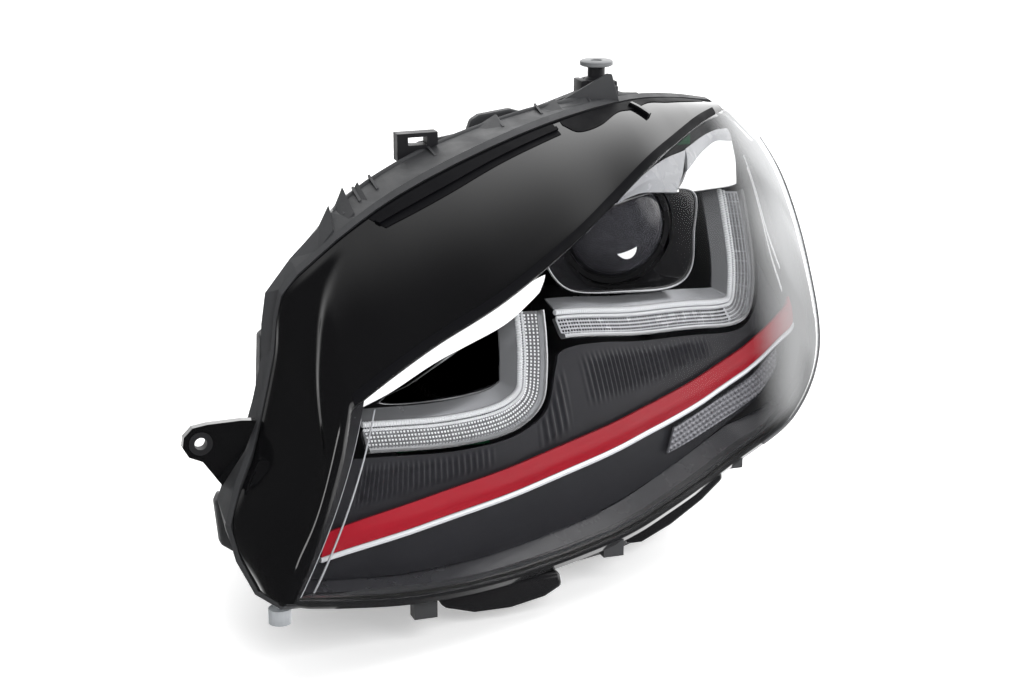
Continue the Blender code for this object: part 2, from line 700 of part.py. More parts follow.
def build_shroud():
    centre = (AXIS_X, AXIS_Z)
    rim = ring_about(SHROUD_RIM, centre, RING_COUNT)
    rear = circle_at(centre, 45.2, 206.0, RING_COUNT)
    middle = [a * 0.4 + b * 0.6 for a, b in zip(rim, rear)]
    funnel("projector_shroud", [rim, middle, rear], centre, 2.0, SATIN_BLACK)


def build_inner_reflector():
    centre = (145.0, 150.0)
    rim = ring_about(INNER_RIM, centre, RING_COUNT)
    middle = [a * 0.5 + b * 0.5 for a, b in zip(rim, circle_at(centre, 32.0, 140.0, RING_COUNT))]
    deep = circle_at(centre, 26.0, 150.0, RING_COUNT)
    rear = circle_at(centre, 13.0, 172.0, RING_COUNT)
    funnel("inner_reflector", [rim, middle, deep, rear], centre, 1.8, DARK_CHROME)
    at = (centre[0], 0, centre[1])
    turned("high_beam_bulb", [(0, 136), (4, 138), (5.5, 142), (5.5, 160), (4, 164), (4, 176),
                              (0, 176)], at, BACKWARDS, CLEAR, 20)
    turned("high_beam_bulb_holder", [(0, 176.4), (17, 176.4), (17, 180), (10, 182), (10, 194),
                                     (0, 194)], at, BACKWARDS, MATTE_BLACK, 28)


def build_trim_lights():
    uv_slab("inner_turn_reflector",
            ((0.40, .93), (1.1, .915), (1.85, .90), (2.7, .89), (3.2, .90), (3.45, .92)),
            ((0.50, .965), (1.1, .975), (1.85, .98), (2.7, .98), (3.2, .98), (3.5, .98)),
            9.0, 11.0, 18, 2, WHITE_TRIM)
    uv_slab("outer_turn_reflector",
            ((5.0, .965), (5.75, .945), (6.7, .87), (7.6, .78), (8.6, .69)),
            ((5.1, .985), (5.9, .985), (6.9, .975), (8.0, .96), (9.6, .90)),
            9.0, 11.0, 18, 3, WHITE_TRIM)
    uv_slab("side_marker_reflector",
            ((5.6, .10), (6.1, .08), (6.6, .075), (7.0, .07)),
            ((5.5, .20), (6.1, .16), (6.6, .135), (7.05, .11)),
            STRIP_DEPTH, STRIP_DEPTH + TRIM_T, 12, 3, CLEAR)
    uv_slab("outer_side_panel",
            ((8.1, .24), (8.7, .22), (9.3, .24), (9.9, .31)),
            ((8.2, .38), (8.85, .43), (9.45, .48), (10.0, .56)),
            16.0, 18.0, 10, 4, SATIN_GREY)


# ============================================================================== projector module
def build_projector():
    at = (AXIS_X, 0, AXIS_Z)
    turned("projector_lens", [(0, 196), (10, 197), (20, 200), (29, 205), (34.5, 210), (37.4, 212),
                              (37.4, 214.5), (0, 214.5)], at, BACKWARDS, CLEAR, 28)
    turned("projector_lens_ring", [(38.2, 210.5), (42.5, 210.5), (43.5, 211.5), (43.5, 220),
                                   (38.2, 220)],
           at, BACKWARDS, CAST_METAL, 28)
    barrel = turned("projector_barrel", [(33, 214.9), (37.8, 214.9), (37.8, 220.4), (42, 220.4),
                                         (46, 250), (42, 250), (38, 222)],
                    at, BACKWARDS, CAST_METAL, 28)
    pins = [disc("pin", PIN_R, 43, 57, (AXIS_X, PIVOT_Y, AXIS_Z), UPWARDS, None),
            disc("pin", PIN_R, -57, -43, (AXIS_X, PIVOT_Y, AXIS_Z), UPWARDS, None)]
    bosses = [disc("boss", 6, 42, 49.5, (AXIS_X, PIVOT_Y, AXIS_Z), UPWARDS, None, 20),
              disc("boss", 6, -49.5, -42, (AXIS_X, PIVOT_Y, AXIS_Z), UPWARDS, None, 20)]
    join(barrel, bosses + pins)
    carrier = turned("shutter_carrier", [(41, 250.4), (46, 250.4), (46, 266), (41, 266)],
                     at, BACKWARDS, CAST_METAL, 28)
    slot = box("slot", (AXIS_X - 24, 252, AXIS_Z - 50), (AXIS_X + 24, 264.5, AXIS_Z - 26))
    cut(carrier, [slot])
    turned("projector_reflector", [(41, 266.4), (46, 266.4), (46, 270), (43, 285), (33, 302),
                                   (19, 312), (19, 309), (31, 299.5), (40, 284), (42, 270)],
           at, BACKWARDS, CHROME, 28)
    turned("xenon_bulb", [(0, 284), (3.5, 286), (3.5, 302), (8, 304), (8, 312.5), (21, 312.5),
                          (21, 317), (0, 317)], at, BACKWARDS, CLEAR, 20)
    box("igniter", (AXIS_X - 17, 317.4, AXIS_Z - 17), (AXIS_X + 17, 331, AXIS_Z + 17), CAST_METAL)
    flap = prism("shutter_flap", ((AXIS_X - 22, AXIS_Z - 40), (AXIS_X + 22, AXIS_Z - 40),
                                  (AXIS_X + 22, AXIS_Z - 30), (AXIS_X + 33, AXIS_Z - 14),
                                  (AXIS_X + 33, AXIS_Z - 3), (AXIS_X + 4, AXIS_Z - 3),
                                  (AXIS_X - 4, AXIS_Z - 7), (AXIS_X - 33, AXIS_Z - 7),
                                  (AXIS_X - 33, AXIS_Z - 14), (AXIS_X - 22, AXIS_Z - 30)),
                 254.0, 255.6, STEEL)
    shaft = disc("shaft", 1.6, -21.5, 21.5, (AXIS_X, SHUTTER_Y, AXIS_Z - SHUTTER_DROP), SIDEWAYS,
                 None, 16)
    join(flap, [shaft])
    box("shutter_solenoid", (AXIS_X - 12, 250.4, AXIS_Z - 66), (AXIS_X + 12, 266, AXIS_Z - 50.5),
        STEEL)


def build_aim_frame():
    outline = [(AXIS_X + x, AXIS_Z + z) for x, z in ((-64, -57), (64, -57), (64, 36), (44, 57),
                                                     (-44, 57), (-64, 36))]
    frame = prism("aim_frame", outline, PIVOT_Y - 5, PIVOT_Y + 5, MATTE_BLACK)
    inside = [(AXIS_X + x, AXIS_Z + z) for x, z in ((-54, -50), (54, -50), (54, 30), (36, 50),
                                                    (-36, 50), (-54, 30))]
    window = prism("window", inside, PIVOT_Y - 8, PIVOT_Y + 8)
    bore = disc("bore", BORE_R, -60, 60, (AXIS_X, PIVOT_Y, AXIS_Z), UPWARDS, None)
    cut(frame, [window, bore])
    pins = [disc("pin", PIN_R, 63, EAR_X + EAR_T - 0.5, (AXIS_X, PIVOT_Y, AXIS_Z), SIDEWAYS, None),
            disc("pin", PIN_R, -EAR_X - EAR_T + 0.5, -63, (AXIS_X, PIVOT_Y, AXIS_Z), SIDEWAYS,
                 None)]
    fork = box("fork", (ROD_X - 8, PIVOT_Y - 8, AXIS_Z - 73), (ROD_X + 8, PIVOT_Y + 8,
                                                              AXIS_Z - 56))
    join(frame, pins + [fork])
    slot = box("slot", (ROD_X - 9, PIVOT_Y - 5.3, AXIS_Z - 74), (ROD_X + 9, PIVOT_Y + 5.3,
                                                                AXIS_Z - 58.4))
    notch = box("notch", (ROD_X - 4.4, PIVOT_Y, AXIS_Z - 74), (ROD_X + 4.4, PIVOT_Y + 9,
                                                              AXIS_Z - 58.4))
    cut(frame, [slot, notch])


def build_levelling():
    at = (ROD_X, 0, AXIS_Z - TILT_LEVER)
    y = PIVOT_Y
    turned("levelling_rod", [(0, y - 5), (2.6, y - 4.3), (4.3, y - 2.6), (5, y), (4.3, y + 2.6),
                             (3.6, y + 3.6), (3.6, 309), (0, 309)], at, BACKWARDS, MATTE_BLACK, 20)
    motor = box("levelling_motor", (ROD_X - 20, 300, AXIS_Z - 85), (ROD_X + 20, 334,
                                                                  AXIS_Z - 45), MATTE_BLACK)
    cut(motor, [y_disc("bore", ROD_X, AXIS_Z - TILT_LEVER, 4.1, 290, 316)])
    box("swivel_motor", (AXIS_X - 52, PIVOT_Y + 5.4, AXIS_Z - 82),
        (AXIS_X - 26, PIVOT_Y + 30, AXIS_Z - 58), MATTE_BLACK)
    for name, (x, z) in zip(("vertical_aim_screw", "horizontal_aim_screw"), AIM_SCREWS):
        turned(name, [(0, 318), (7, 318), (8, 320), (8, 326), (7, 328), (PIN_R, 328),
                      (PIN_R, BACK_Y + 0.4), (6, BACK_Y + 0.4), (6, BACK_Y + 8), (0, BACK_Y + 8)],
               (x, 0, z), BACKWARDS, MATTE_BLACK, 24)


# =================================================================================== rear covers
def build_cover(name, place):
    x, z, radius = place
    outside = radius + COLLAR_T
    tube(name + "_seal", outside + 0.4, outside + 4, BACK_Y + 0.4, BACK_Y + 3.4, (x, 0, z),
         BACKWARDS, RUBBER, 32)
    cap = turned(name, [(0, COLLAR_TOP + 4), (outside - 2, COLLAR_TOP + 4),
                        (outside + 0.4, COLLAR_TOP + 1), (outside + 0.4, BACK_Y + 3.8),
                        (outside + 4, BACK_Y + 3.8), (outside + 4, COLLAR_TOP + 3),
                        (outside, COLLAR_TOP + 7), (0, COLLAR_TOP + 7)],
                 (x, 0, z), BACKWARDS, MATTE_BLACK, 32)
    grip = box("grip", (x - radius * 0.75, COLLAR_TOP + 6, z - 5),
               (x + radius * 0.75, COLLAR_TOP + 13, z + 5))
    join(cap, [grip])


def build_rear_electrics():
    box("ballast", (150, BACK_Y + 0.4, -12), (250, BACK_Y + 24, 60), CAST_METAL)
    box("ballast_plug", (180, BACK_Y + 4, 60.4), (220, BACK_Y + 20, 74), MATTE_BLACK)
    for i, (x, z) in enumerate(((141, 0), (141, 48), (259, 0), (259, 48))):
        turned("ballast_screw_%d" % (i + 1), [(0, BACK_Y + 0.4), (4, BACK_Y + 0.4),
                                             (6, BACK_Y + 3), (6, BACK_Y + 5), (0, BACK_Y + 6)],
               (x, 0, z), BACKWARDS, STEEL, 16)
    x, z = SOCKET
    socket = box("wiring_socket", (x - 19, BACK_Y + 1.9, z - 12), (x + 19, BACK_Y + 22, z + 12),
                 MATTE_BLACK)
    cut(socket, [box("cavity", (x - 15.5, BACK_Y + 6, z - 8.5), (x + 15.5, BACK_Y + 30, z + 8.5))])
    box("socket_terminals", (x - 12, BACK_Y + 6.4, z - 4), (x + 12, BACK_Y + 9, z + 4), BRASS)
    turned("breather_cap", [(0, BACK_Y + 0.4), (9, BACK_Y + 0.4), (9, BACK_Y + 10),
                            (5, BACK_Y + 13), (0, BACK_Y + 13)],
           (225, 0, 236), BACKWARDS, RUBBER, 20)


def build_led_boards():
    box("inner_led_board", (104, 112, 92), (170, 115, 104), SOLDER_MASK)
    box("inner_led_heatsink", (106, 115.4, 88), (168, 126, 108), CAST_METAL)
    box("outer_led_board", (258, 196, 138), (330, 199, 152), SOLDER_MASK)
    box("outer_led_heatsink", (260, 199.4, 136), (328, 210, 154), CAST_METAL)
    box("turn_led_board", (340, 262, 258), (380, 265, 272), SOLDER_MASK)


# ============================================================================== mounting pieces
def build_mounts():
    x, z = LUG_HOLE
    bracket = prism("inner_bracket", ((6, 128), (-4, 129), (-27, 128.5), (-37, 127), (-43, 121),
                                      (-44, 114), (-40, 107), (-31, 103), (-18.5, 85),
                                      (-2.5, 108)),
                    LUG_Y, LUG_Y + LUG_T, PIANO_BLACK)
    cut(bracket, [y_disc("hole", x, z, 6.4, LUG_Y - 5, LUG_Y + LUG_T + 5)])
    turned("bracket_bush", [(4.2, LUG_Y - 1), (8, LUG_Y - 1), (8, LUG_Y - 0.4), (6, LUG_Y - 0.4),
                            (6, LUG_Y + LUG_T + 1), (4.2, LUG_Y + LUG_T + 1)],
           (x, 0, z), BACKWARDS, STEEL, 28)
    at = (MOUNT_X, MOUNT_Y, 0)
    turned("upper_mount_sleeve", [(2.6, 296), (5.25, 296), (5.25, 304.4), (9, 304.4), (9, 309),
                                  (6.5, 310), (6.5, 318), (12.5, 319), (12.5, 322.5),
                                  (2.6, 322.5)],
           at, UPWARDS, SLEEVE_GREY, 24)
    clip = prism("retaining_clip", CLIP_OUTLINE, CLIP_Y, CLIP_Y + CLIP_T, MATTE_BLACK)
    cut(clip, [box("slot", (148, CLIP_Y - 5, 279.2), (162, CLIP_Y + CLIP_T + 5, 285))])
    disc("alignment_pin", 7.5, 20.0, 30.0, (-2, 20, 0), UPWARDS, FROSTED, 20)


# ================================================================== joint origins and shading
PROJECTOR_PIVOT = (AXIS_X, PIVOT_Y, AXIS_Z)
PIVOTS = {
    PROJECTOR_PIVOT: (
        "aim_frame", "swivel_motor", "projector_lens", "projector_lens_ring", "projector_barrel",
        "shutter_carrier", "projector_reflector", "xenon_bulb", "igniter", "shutter_solenoid"),
    (AXIS_X, SHUTTER_Y, AXIS_Z - SHUTTER_DROP): ("shutter_flap",),
    (ROD_X, PIVOT_Y, AXIS_Z - TILT_LEVER): ("levelling_rod",),
    (AIM_SCREWS[0][0], BACK_Y, AIM_SCREWS[0][1]): ("vertical_aim_screw",),
    (AIM_SCREWS[1][0], BACK_Y, AIM_SCREWS[1][1]): ("horizontal_aim_screw",),
    (LOW_BEAM[0], BACK_Y, LOW_BEAM[1]): ("low_beam_cover", "low_beam_cover_seal"),
    (HIGH_BEAM[0], BACK_Y, HIGH_BEAM[1]): ("high_beam_cover", "high_beam_cover_seal"),
    (MOUNT_X, MOUNT_Y, MOUNT_BASE_Z): ("upper_mount_sleeve",),
}
SMOOTH_ANGLE = math.radians(32)


def set_origins():
    """Put the origin of every moving piece on the axis it moves on."""
    for pivot, names in PIVOTS.items():
        place = Vector((np.array(pivot) + ORIGIN_SHIFT) * MM)
        for name in names:
            node = bpy.data.objects[name]
            node.data.transform(Matrix.Translation(-place))
            node.location = place


def shade():
    """Round faces shade smooth and edges stay sharp."""
    for node in bpy.data.objects:
        node.data.shade_smooth()
        node.data.set_sharp_from_angle(angle=SMOOTH_ANGLE)


def main():
    for item in list(bpy.data.objects):
        bpy.data.objects.remove(item)
    stations = rim_stations()
    build_outer_lens()
    build_border()
    build_seal(stations)
    build_housing(stations)
    build_bezel()
    build_strips()
    build_daytime_light("inner", SMALL_U, 18)
    build_daytime_light("outer", LARGE_U, 20)
    build_shroud()
    build_inner_reflector()
    build_trim_lights()
    build_projector()
    build_aim_frame()
    build_levelling()
    build_cover("low_beam_cover", LOW_BEAM)
    build_cover("high_beam_cover", HIGH_BEAM)
    build_rear_electrics()
    build_led_boards()
    build_mounts()
    set_origins()
    shade()


main()
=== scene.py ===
"""Looks of the car headlight: fine lens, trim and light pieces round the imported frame.

The drawing below is in millimetres, like the frame's own design: X from the grille end to the
fender end, Y from the lens back to the covers, Z up.  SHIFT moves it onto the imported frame.
"""
import math

import bmesh
import bpy
import numpy as np
from mathutils import Matrix, Vector


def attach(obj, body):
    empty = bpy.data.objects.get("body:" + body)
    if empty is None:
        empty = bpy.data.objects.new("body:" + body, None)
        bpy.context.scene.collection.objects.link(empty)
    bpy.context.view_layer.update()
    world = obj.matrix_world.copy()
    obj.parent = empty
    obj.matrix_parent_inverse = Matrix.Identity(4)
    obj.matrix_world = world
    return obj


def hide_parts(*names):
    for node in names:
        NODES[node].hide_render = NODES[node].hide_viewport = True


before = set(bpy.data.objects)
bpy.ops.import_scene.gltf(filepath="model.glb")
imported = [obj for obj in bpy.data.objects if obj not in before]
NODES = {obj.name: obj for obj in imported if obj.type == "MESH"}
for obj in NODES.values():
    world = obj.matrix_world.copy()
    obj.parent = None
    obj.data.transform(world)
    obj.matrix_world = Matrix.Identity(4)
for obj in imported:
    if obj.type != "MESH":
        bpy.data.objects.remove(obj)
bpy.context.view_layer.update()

MM = 0.001
SHIFT = np.array([-207.4, -181.0, 24.0])
LAMP = "lamp_body"
SHARP = 32.0  # degrees between faces, above which an edge shows

# -------------------- driving curves of the lens
LENS_LOW = np.array([
    (0, 0, 40), (41, 9, 31), (100, 25, 21), (171, 50, 16), (259, 90, 17), (316, 118, 27),
    (377, 150, 43), (431, 172, 66), (456.6, 187, 112), (458, 214, 172), (456, 254, 224),
    (449, 287, 254), (441, 314, 274)], float)
LENS_TOP = np.array([
    (54, 45, 150), (84, 59, 163), (124, 78, 178), (178, 101, 196), (238, 135, 221),
    (282, 167, 241), (322, 196, 260), (354, 226, 268), (384, 257, 273), (406, 279, 275),
    (421, 294, 275.5), (432, 305, 275.5), (439.5, 312.5, 275.5)], float)
LENS_BULGE = np.array([9, 11, 13, 15, 17, 17, 16, 14, 11, 8, 5, 2, 0], float)
BORDER_REAR = np.array([
    (-9, 36, 38), (-18, 68, 69), (4, 97, 108), (25, 122, 163), (35, 140, 198), (62, 152, 219),
    (92, 162, 237), (125, 174, 252), (172, 192, 267), (228, 216, 280), (275, 238, 287),
    (318, 260, 290), (350, 277, 289), (380, 292, 285), (402, 303, 281), (418, 310, 278),
    (430, 314, 276.5), (441, 318, 275)], float)
SIDE_STEPS = 5.0
LENS_END_U = 11.0
BORDER_END_S = 15.0
LENS_T = 3.0
BORDER_T = 3.0
BORDER_CROWN = 4.0
AXIS = np.array([300.0, 242.0, 212.0])  # centre of the projector


# ==================== curves
def spline(points, t):
    """Catmull-Rom through the points at parameters t, one unit of t per point."""
    last = len(points) - 1
    t = np.clip(np.asarray(t, float), 0.0, last)
    i = np.minimum(t.astype(int), last - 1)
    f = t - i
    p1, p2 = points[i], points[i + 1]
    before = np.where(_like(i > 0, p1), points[np.maximum(i - 1, 0)], 2 * p1 - p2)
    after = np.where(_like(i < last - 1, p1), points[np.minimum(i + 2, last)], 2 * p2 - p1)
    f = _like(f, p1)
    linear = (p2 - before) * f
    square = (2 * before - 5 * p1 + 4 * p2 - after) * f * f
    cubic = (3 * p1 - before - 3 * p2 + after) * f ** 3
    return 0.5 * (2 * p1 + linear + square + cubic)


def _like(value, rows):
    """A value per row, shaped to multiply rows of points."""
    value = np.asarray(value)
    return value[..., None] if rows.ndim > value.ndim else value


def unit(v):
    """Vectors scaled to length one."""
    return v / np.maximum(np.linalg.norm(v, axis=-1, keepdims=True), 1e-9)


def ruled(u, v):
    """Straight-lined surface between the lens's low and top curves."""
    v = np.asarray(v, float)[..., None]
    return spline(LENS_LOW, u) * (1 - v) + spline(LENS_TOP, u) * v


def inward_of(surface, u, v):
    """Unit normals of a lens-like surface, pointing into the lamp."""
    step = 0.02
    along = surface(np.minimum(u + step, 12.0), v) - surface(np.maximum(u - step, 0.0), v)
    up = surface(u, np.minimum(v + step, 1.0)) - surface(u, np.maximum(v - step, 0.0))
    return unit(np.cross(up, along))


def skin(u, v):
    """Outer face of the clear lens."""
    inside = np.clip(v, 0.0, 1.0)
    bulge = spline(LENS_BULGE, u) * np.sin(math.pi * inside) ** 0.8
    return ruled(u, v) - inward_of(ruled, u, v) * bulge[..., None]


def behind(u, v, depth):
    """Points at a depth behind the lens face."""
    u, v = np.broadcast_arrays(np.asarray(u, float), np.asarray(v, float))
    return skin(u, v) + inward_of(skin, u, v) * np.asarray(depth, float)[..., None]


def spaced(start, stop, count):
    """Ends of count equal steps."""
    return np.linspace(start, stop, count + 1)


# ==================== pieces
def new_piece(name, points, faces, look, body=LAMP, sharp=SHARP):
    """A mesh piece from points in millimetres, with its faces turned outwards."""
    mesh = bpy.data.meshes.new(name)
    places = (np.asarray(points, float).reshape(-1, 3) + SHIFT) * MM
    mesh.from_pydata(places.tolist(), [], faces)
    work = bmesh.new()
    work.from_mesh(mesh)
    bmesh.ops.recalc_face_normals(work, faces=work.faces)
    if work.calc_volume(signed=True) < 0:
        bmesh.ops.reverse_faces(work, faces=work.faces)
    work.to_mesh(mesh)
    work.free()
    return place(name, mesh, look, body, sharp)


def place(name, mesh, look, body, sharp=SHARP):
    """Put a mesh in the scene with smooth round faces, riding on a body."""
    mesh.shade_smooth()
    mesh.set_sharp_from_angle(angle=math.radians(sharp))
    piece = bpy.data.objects.new(name, mesh)
    bpy.context.collection.objects.link(piece)
    dress(piece, look)
    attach(piece, body)
    return piece


def dress(piece, look):
    """Give a piece the material of a look."""
    material = LOOK[look]
    piece.data.materials.clear()
    piece.data.materials.append(material)


def wall(front, back):
    """Points and faces of the closed solid between two grids of points."""
    rows, cols = front.shape[:2]
    shift = rows * cols
    index = np.arange(shift).reshape(rows, cols)

    def quads(grid):
        return np.stack([grid[:-1, :-1], grid[:-1, 1:], grid[1:, 1:], grid[1:, :-1]], -1)

    faces = quads(index).reshape(-1, 4).tolist()
    faces += quads(index + shift)[..., ::-1].reshape(-1, 4).tolist()
    loop = list(index[0, :]) + list(index[1:, -1]) + list(index[-1, -2::-1])
    loop += list(index[-2:0:-1, 0])
    for a, b in zip(loop, loop[1:] + loop[:1]):
        faces.append([int(a), int(a) + shift, int(b) + shift, int(b)])
    points = np.concatenate([front.reshape(-1, 3), back.reshape(-1, 3)])
    return points, faces


def band_places(low, high, cols, rows, start=0.0, stop=1.0):
    """(u, v) grid between two edges on the lens; rows go from the low to the high edge."""
    low, high = np.array(low, float), np.array(high, float)
    t = spaced(0.0, len(low) - 1.0, cols)
    a, b = spline(low, t), spline(high, t)
    f = spaced(start, stop, rows)[None, :, None]
    cells = a[:, None, :] * (1 - f) + b[:, None, :] * f
    return cells[..., 0], cells[..., 1]


def band(name, low, high, shallow, deep, cols, rows, look, relief=None, replaces=()):
    """Plate following the lens between two (u, v) edges; relief raises its front in mm.

    A pair of depths slants the plate from its low to its high edge.
    """
    u, v = band_places(low, high, cols, rows)
    raised = 0.0 if relief is None else relief(u, v)
    near, far = (np.linspace(*np.broadcast_to(edge, 2), rows + 1) for edge in (shallow, deep))
    front = behind(u, v, near - raised + 0 * u)
    back = behind(u, v, far + 0 * u)
    piece = new_piece(name, *wall(front, back), look)
    if replaces:
        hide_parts(*replaces)
    return piece


def rings_piece(name, rings, look, body=LAMP, ends="cap", sharp=SHARP):
    """Closed solid through rings of equal length."""
    rings = np.asarray(rings, float)
    count = rings.shape[1]
    index = np.arange(rings.shape[0] * count).reshape(-1, count)
    if ends == "join":
        index = np.concatenate([index, index[:1]])
    nxt = np.roll(index, -1, axis=1)
    quads = np.stack([index[:-1], nxt[:-1], nxt[1:], index[1:]], -1).reshape(-1, 4)
    faces = quads.tolist()
    if ends == "cap":
        faces.append(index[0].tolist()[::-1])
        faces.append(index[-1].tolist())
    return new_piece(name, rings.reshape(-1, 3), faces, look, body, sharp)


def lathe(name, profile, centre, axis, look, body=LAMP, segments=96):
    """Solid of revolution from (radius, height) pairs; it may start and end on the axis."""
    axis = np.array(axis, float)
    other = np.array([0, 0, 1.0]) if abs(axis[2]) < 0.9 else np.array([1.0, 0, 0])
    right = unit(np.cross(other, axis))
    up = np.cross(axis, right)
    angles = np.linspace(0, 2 * math.pi, segments, endpoint=False)
    ring_dirs = np.cos(angles)[:, None] * right + np.sin(angles)[:, None] * up
    points, index = [], []
    for radius, height in profile:
        base = np.array(centre, float) + axis * height
        if radius < 1e-6:
            index.append([len(points)] * segments)
            points.append(base)
        else:
            index.append(list(range(len(points), len(points) + segments)))
            points.extend(base + ring_dirs * radius)
    faces = []
    spans = len(profile) - 1 if profile[0][0] < 1e-6 else len(profile)
    for r in range(spans):
        a, b = index[r], index[(r + 1) % len(profile)]
        for k in range(segments):
            n = (k + 1) % segments
            corners = list(dict.fromkeys((a[k], a[n], b[n], b[k])))
            if len(corners) > 2:
                faces.append(corners)
    return new_piece(name, points, faces, look, body)


def block(name, low, high, look, bevel):
    """Bevelled box between two corners."""
    low, high = np.array(low, float), np.array(high, float)
    mesh = bpy.data.meshes.new(name)
    work = bmesh.new()
    size = (high - low) * MM
    bmesh.ops.create_cube(work, size=1.0, matrix=Matrix.Diagonal((*size, 1.0)))
    width = min(bevel, 0.45 * min(high - low)) * MM
    bmesh.ops.bevel(work, geom=list(work.edges), offset=width, segments=2, profile=0.5,
                    affect="EDGES")
    work.transform(Matrix.Translation(Vector(((low + high) / 2 + SHIFT) * MM)))
    work.to_mesh(mesh)
    work.free()
    return place(name, mesh, look, LAMP)


def add_pyramid(points, faces, corners, tip):
    """Add a closed four-sided stud to lists of points and faces."""
    base = len(points)
    points += [*corners, tip]
    faces += [[base + k, base + (k + 1) % 4, base + 4] for k in range(4)]
    faces.append([base + 3, base + 2, base + 1, base])


# ==================== materials
def shader(name, slot, colour, roughness, metallic=0.0, coat=None, **sockets):
    """Principled material with its plain values; coat is (weight, roughness)."""
    material = bpy.data.materials.new(name)
    material.use_nodes = True
    if slot:
        material["slot"] = slot
    surface = material.node_tree.nodes["Principled BSDF"]
    surface.inputs["Base Color"].default_value = (*colour, 1.0)
    surface.inputs["Roughness"].default_value = roughness
    surface.inputs["Metallic"].default_value = metallic
    if coat:
        sockets["Coat_Weight"], sockets["Coat_Roughness"] = coat
    for socket, value in sockets.items():
        surface.inputs[socket.replace("_", " ")].default_value = value
    return material


def node(material, kind, **values):
    """New node with some of its sockets or settings given."""
    new = material.node_tree.nodes.new(kind)
    for key, value in values.items():
        if key in new.inputs:
            new.inputs[key].default_value = value
        else:
            setattr(new, key, value)
    return new


def wire(material, source, target):
    """Link two sockets."""
    material.node_tree.links.new(source, target)


def coordinates(material):
    """Each piece's own coordinates, in metres."""
    return node(material, "ShaderNodeTexCoord").outputs["Object"]


def noise(material, scale, detail=3.0):
    """Soft noise over the piece, as a socket."""
    texture = node(material, "ShaderNodeTexNoise", Scale=scale, Detail=detail, Roughness=0.55)
    wire(material, coordinates(material), texture.inputs["Vector"])
    return texture.outputs["Fac"]


def set_range(mapper, start, stop, low, high):
    """Make a Map Range node take start..stop to low..high."""
    for socket, value in zip(("From Min", "From Max", "To Min", "To Max"),
                             (start, stop, low, high)):
        mapper.inputs[socket].default_value = value


def ranged(material, source, low, high, start=0.3, stop=0.7, **settings):
    """Map a value onto a range."""
    mapper = node(material, "ShaderNodeMapRange", **settings)
    set_range(mapper, start, stop, low, high)
    wire(material, source, mapper.inputs["Value"])
    return mapper.outputs["Result"]


def mottled(material, scale, amount):
    """Slight change of the base colour over the surface."""
    surface = material.node_tree.nodes["Principled BSDF"]
    colour = np.array(surface.inputs["Base Color"].default_value[:3])
    mix = node(material, "ShaderNodeMix", data_type="RGBA")
    shades = {"A": colour * (1 - amount), "B": colour * (1 + amount)}
    for socket in mix.inputs:
        if socket.type == "RGBA" and socket.name in shades:
            socket.default_value = (*np.clip(shades[socket.name], 0, 1), 1.0)
    wire(material, ranged(material, noise(material, scale), 0.0, 1.0), mix.inputs["Factor"])
    output = [s for s in mix.outputs if s.type == "RGBA"][0]
    wire(material, output, surface.inputs["Base Color"])


def worn(material, scale, low, high):
    """Roughness that wanders between two values."""
    surface = material.node_tree.nodes["Principled BSDF"]
    value = ranged(material, noise(material, scale, 4.0), low, high)
    wire(material, value, surface.inputs["Roughness"])


def grained(material, scale, depth_mm, strength=1.0):
    """Fine moulded grain as bump."""
    surface = material.node_tree.nodes["Principled BSDF"]
    bump = node(material, "ShaderNodeBump", Strength=strength, Distance=depth_mm * MM)
    wire(material, noise(material, scale, 2.0), bump.inputs["Height"])
    wire(material, bump.outputs["Normal"], surface.inputs["Normal"])


def lets_light_in(material):
    """Lamps shine straight through this clear piece."""
    tree = material.node_tree
    path = node(material, "ShaderNodeLightPath")
    clear = node(material, "ShaderNodeBsdfTransparent")
    mix = node(material, "ShaderNodeMixShader")
    wire(material, path.outputs["Is Shadow Ray"], mix.inputs["Fac"])
    wire(material, tree.nodes["Principled BSDF"].outputs["BSDF"], mix.inputs[1])
    wire(material, clear.outputs["BSDF"], mix.inputs[2])
    wire(material, mix.outputs["Shader"], tree.nodes["Material Output"].inputs["Surface"])


def finish(name, slot, colour, roughness, metallic=0.0, wear=None, mottle=None, grain=None,
           clear=False, **values):
    """A shader with its wear, mottling and grain; a clear one lets the lamps' light through."""
    material = shader(name, slot, colour, roughness, metallic, **values)
    for add, settings in ((worn, wear), (mottled, mottle), (grained, grain)):
        if settings:
            add(material, *settings)
    if clear:
        lets_light_in(material)
    return material


# The lens mirrors the bright backdrop more and more towards its fender end, in metres along x.
GLOW_X = (0.183, 0.232)


def clear_shell(name, slot, haze, strength, fender_glow):
    """Thin clear plastic, whose mirror finish follows the angle and grows at the fender end.

    A haze below zero keeps it fully clear where it is seen squarely.
    """
    material = shader(name, slot, (0.93, 0.94, 0.95), 0.02, 1.0)
    gloss = node(material, "ShaderNodeFresnel", IOR=1.55)
    scaled = node(material, "ShaderNodeMath", operation="MULTIPLY_ADD", use_clamp=True)
    scaled.inputs[1].default_value = strength
    wire(material, gloss.outputs["Fac"], scaled.inputs[0])
    split = node(material, "ShaderNodeSeparateXYZ")
    wire(material, coordinates(material), split.inputs[0])
    across = ranged(material, split.outputs["X"], haze, fender_glow, *GLOW_X,
                    interpolation_type="SMOOTHSTEP")
    wire(material, across, scaled.inputs[2])
    facing = node(material, "ShaderNodeNewGeometry")
    front_only = node(material, "ShaderNodeMath", operation="SUBTRACT", use_clamp=True)
    wire(material, scaled.outputs[0], front_only.inputs[0])
    wire(material, facing.outputs["Backfacing"], front_only.inputs[1])
    surface = material.node_tree.nodes["Principled BSDF"]
    wire(material, front_only.outputs[0], surface.inputs["Alpha"])
    return material


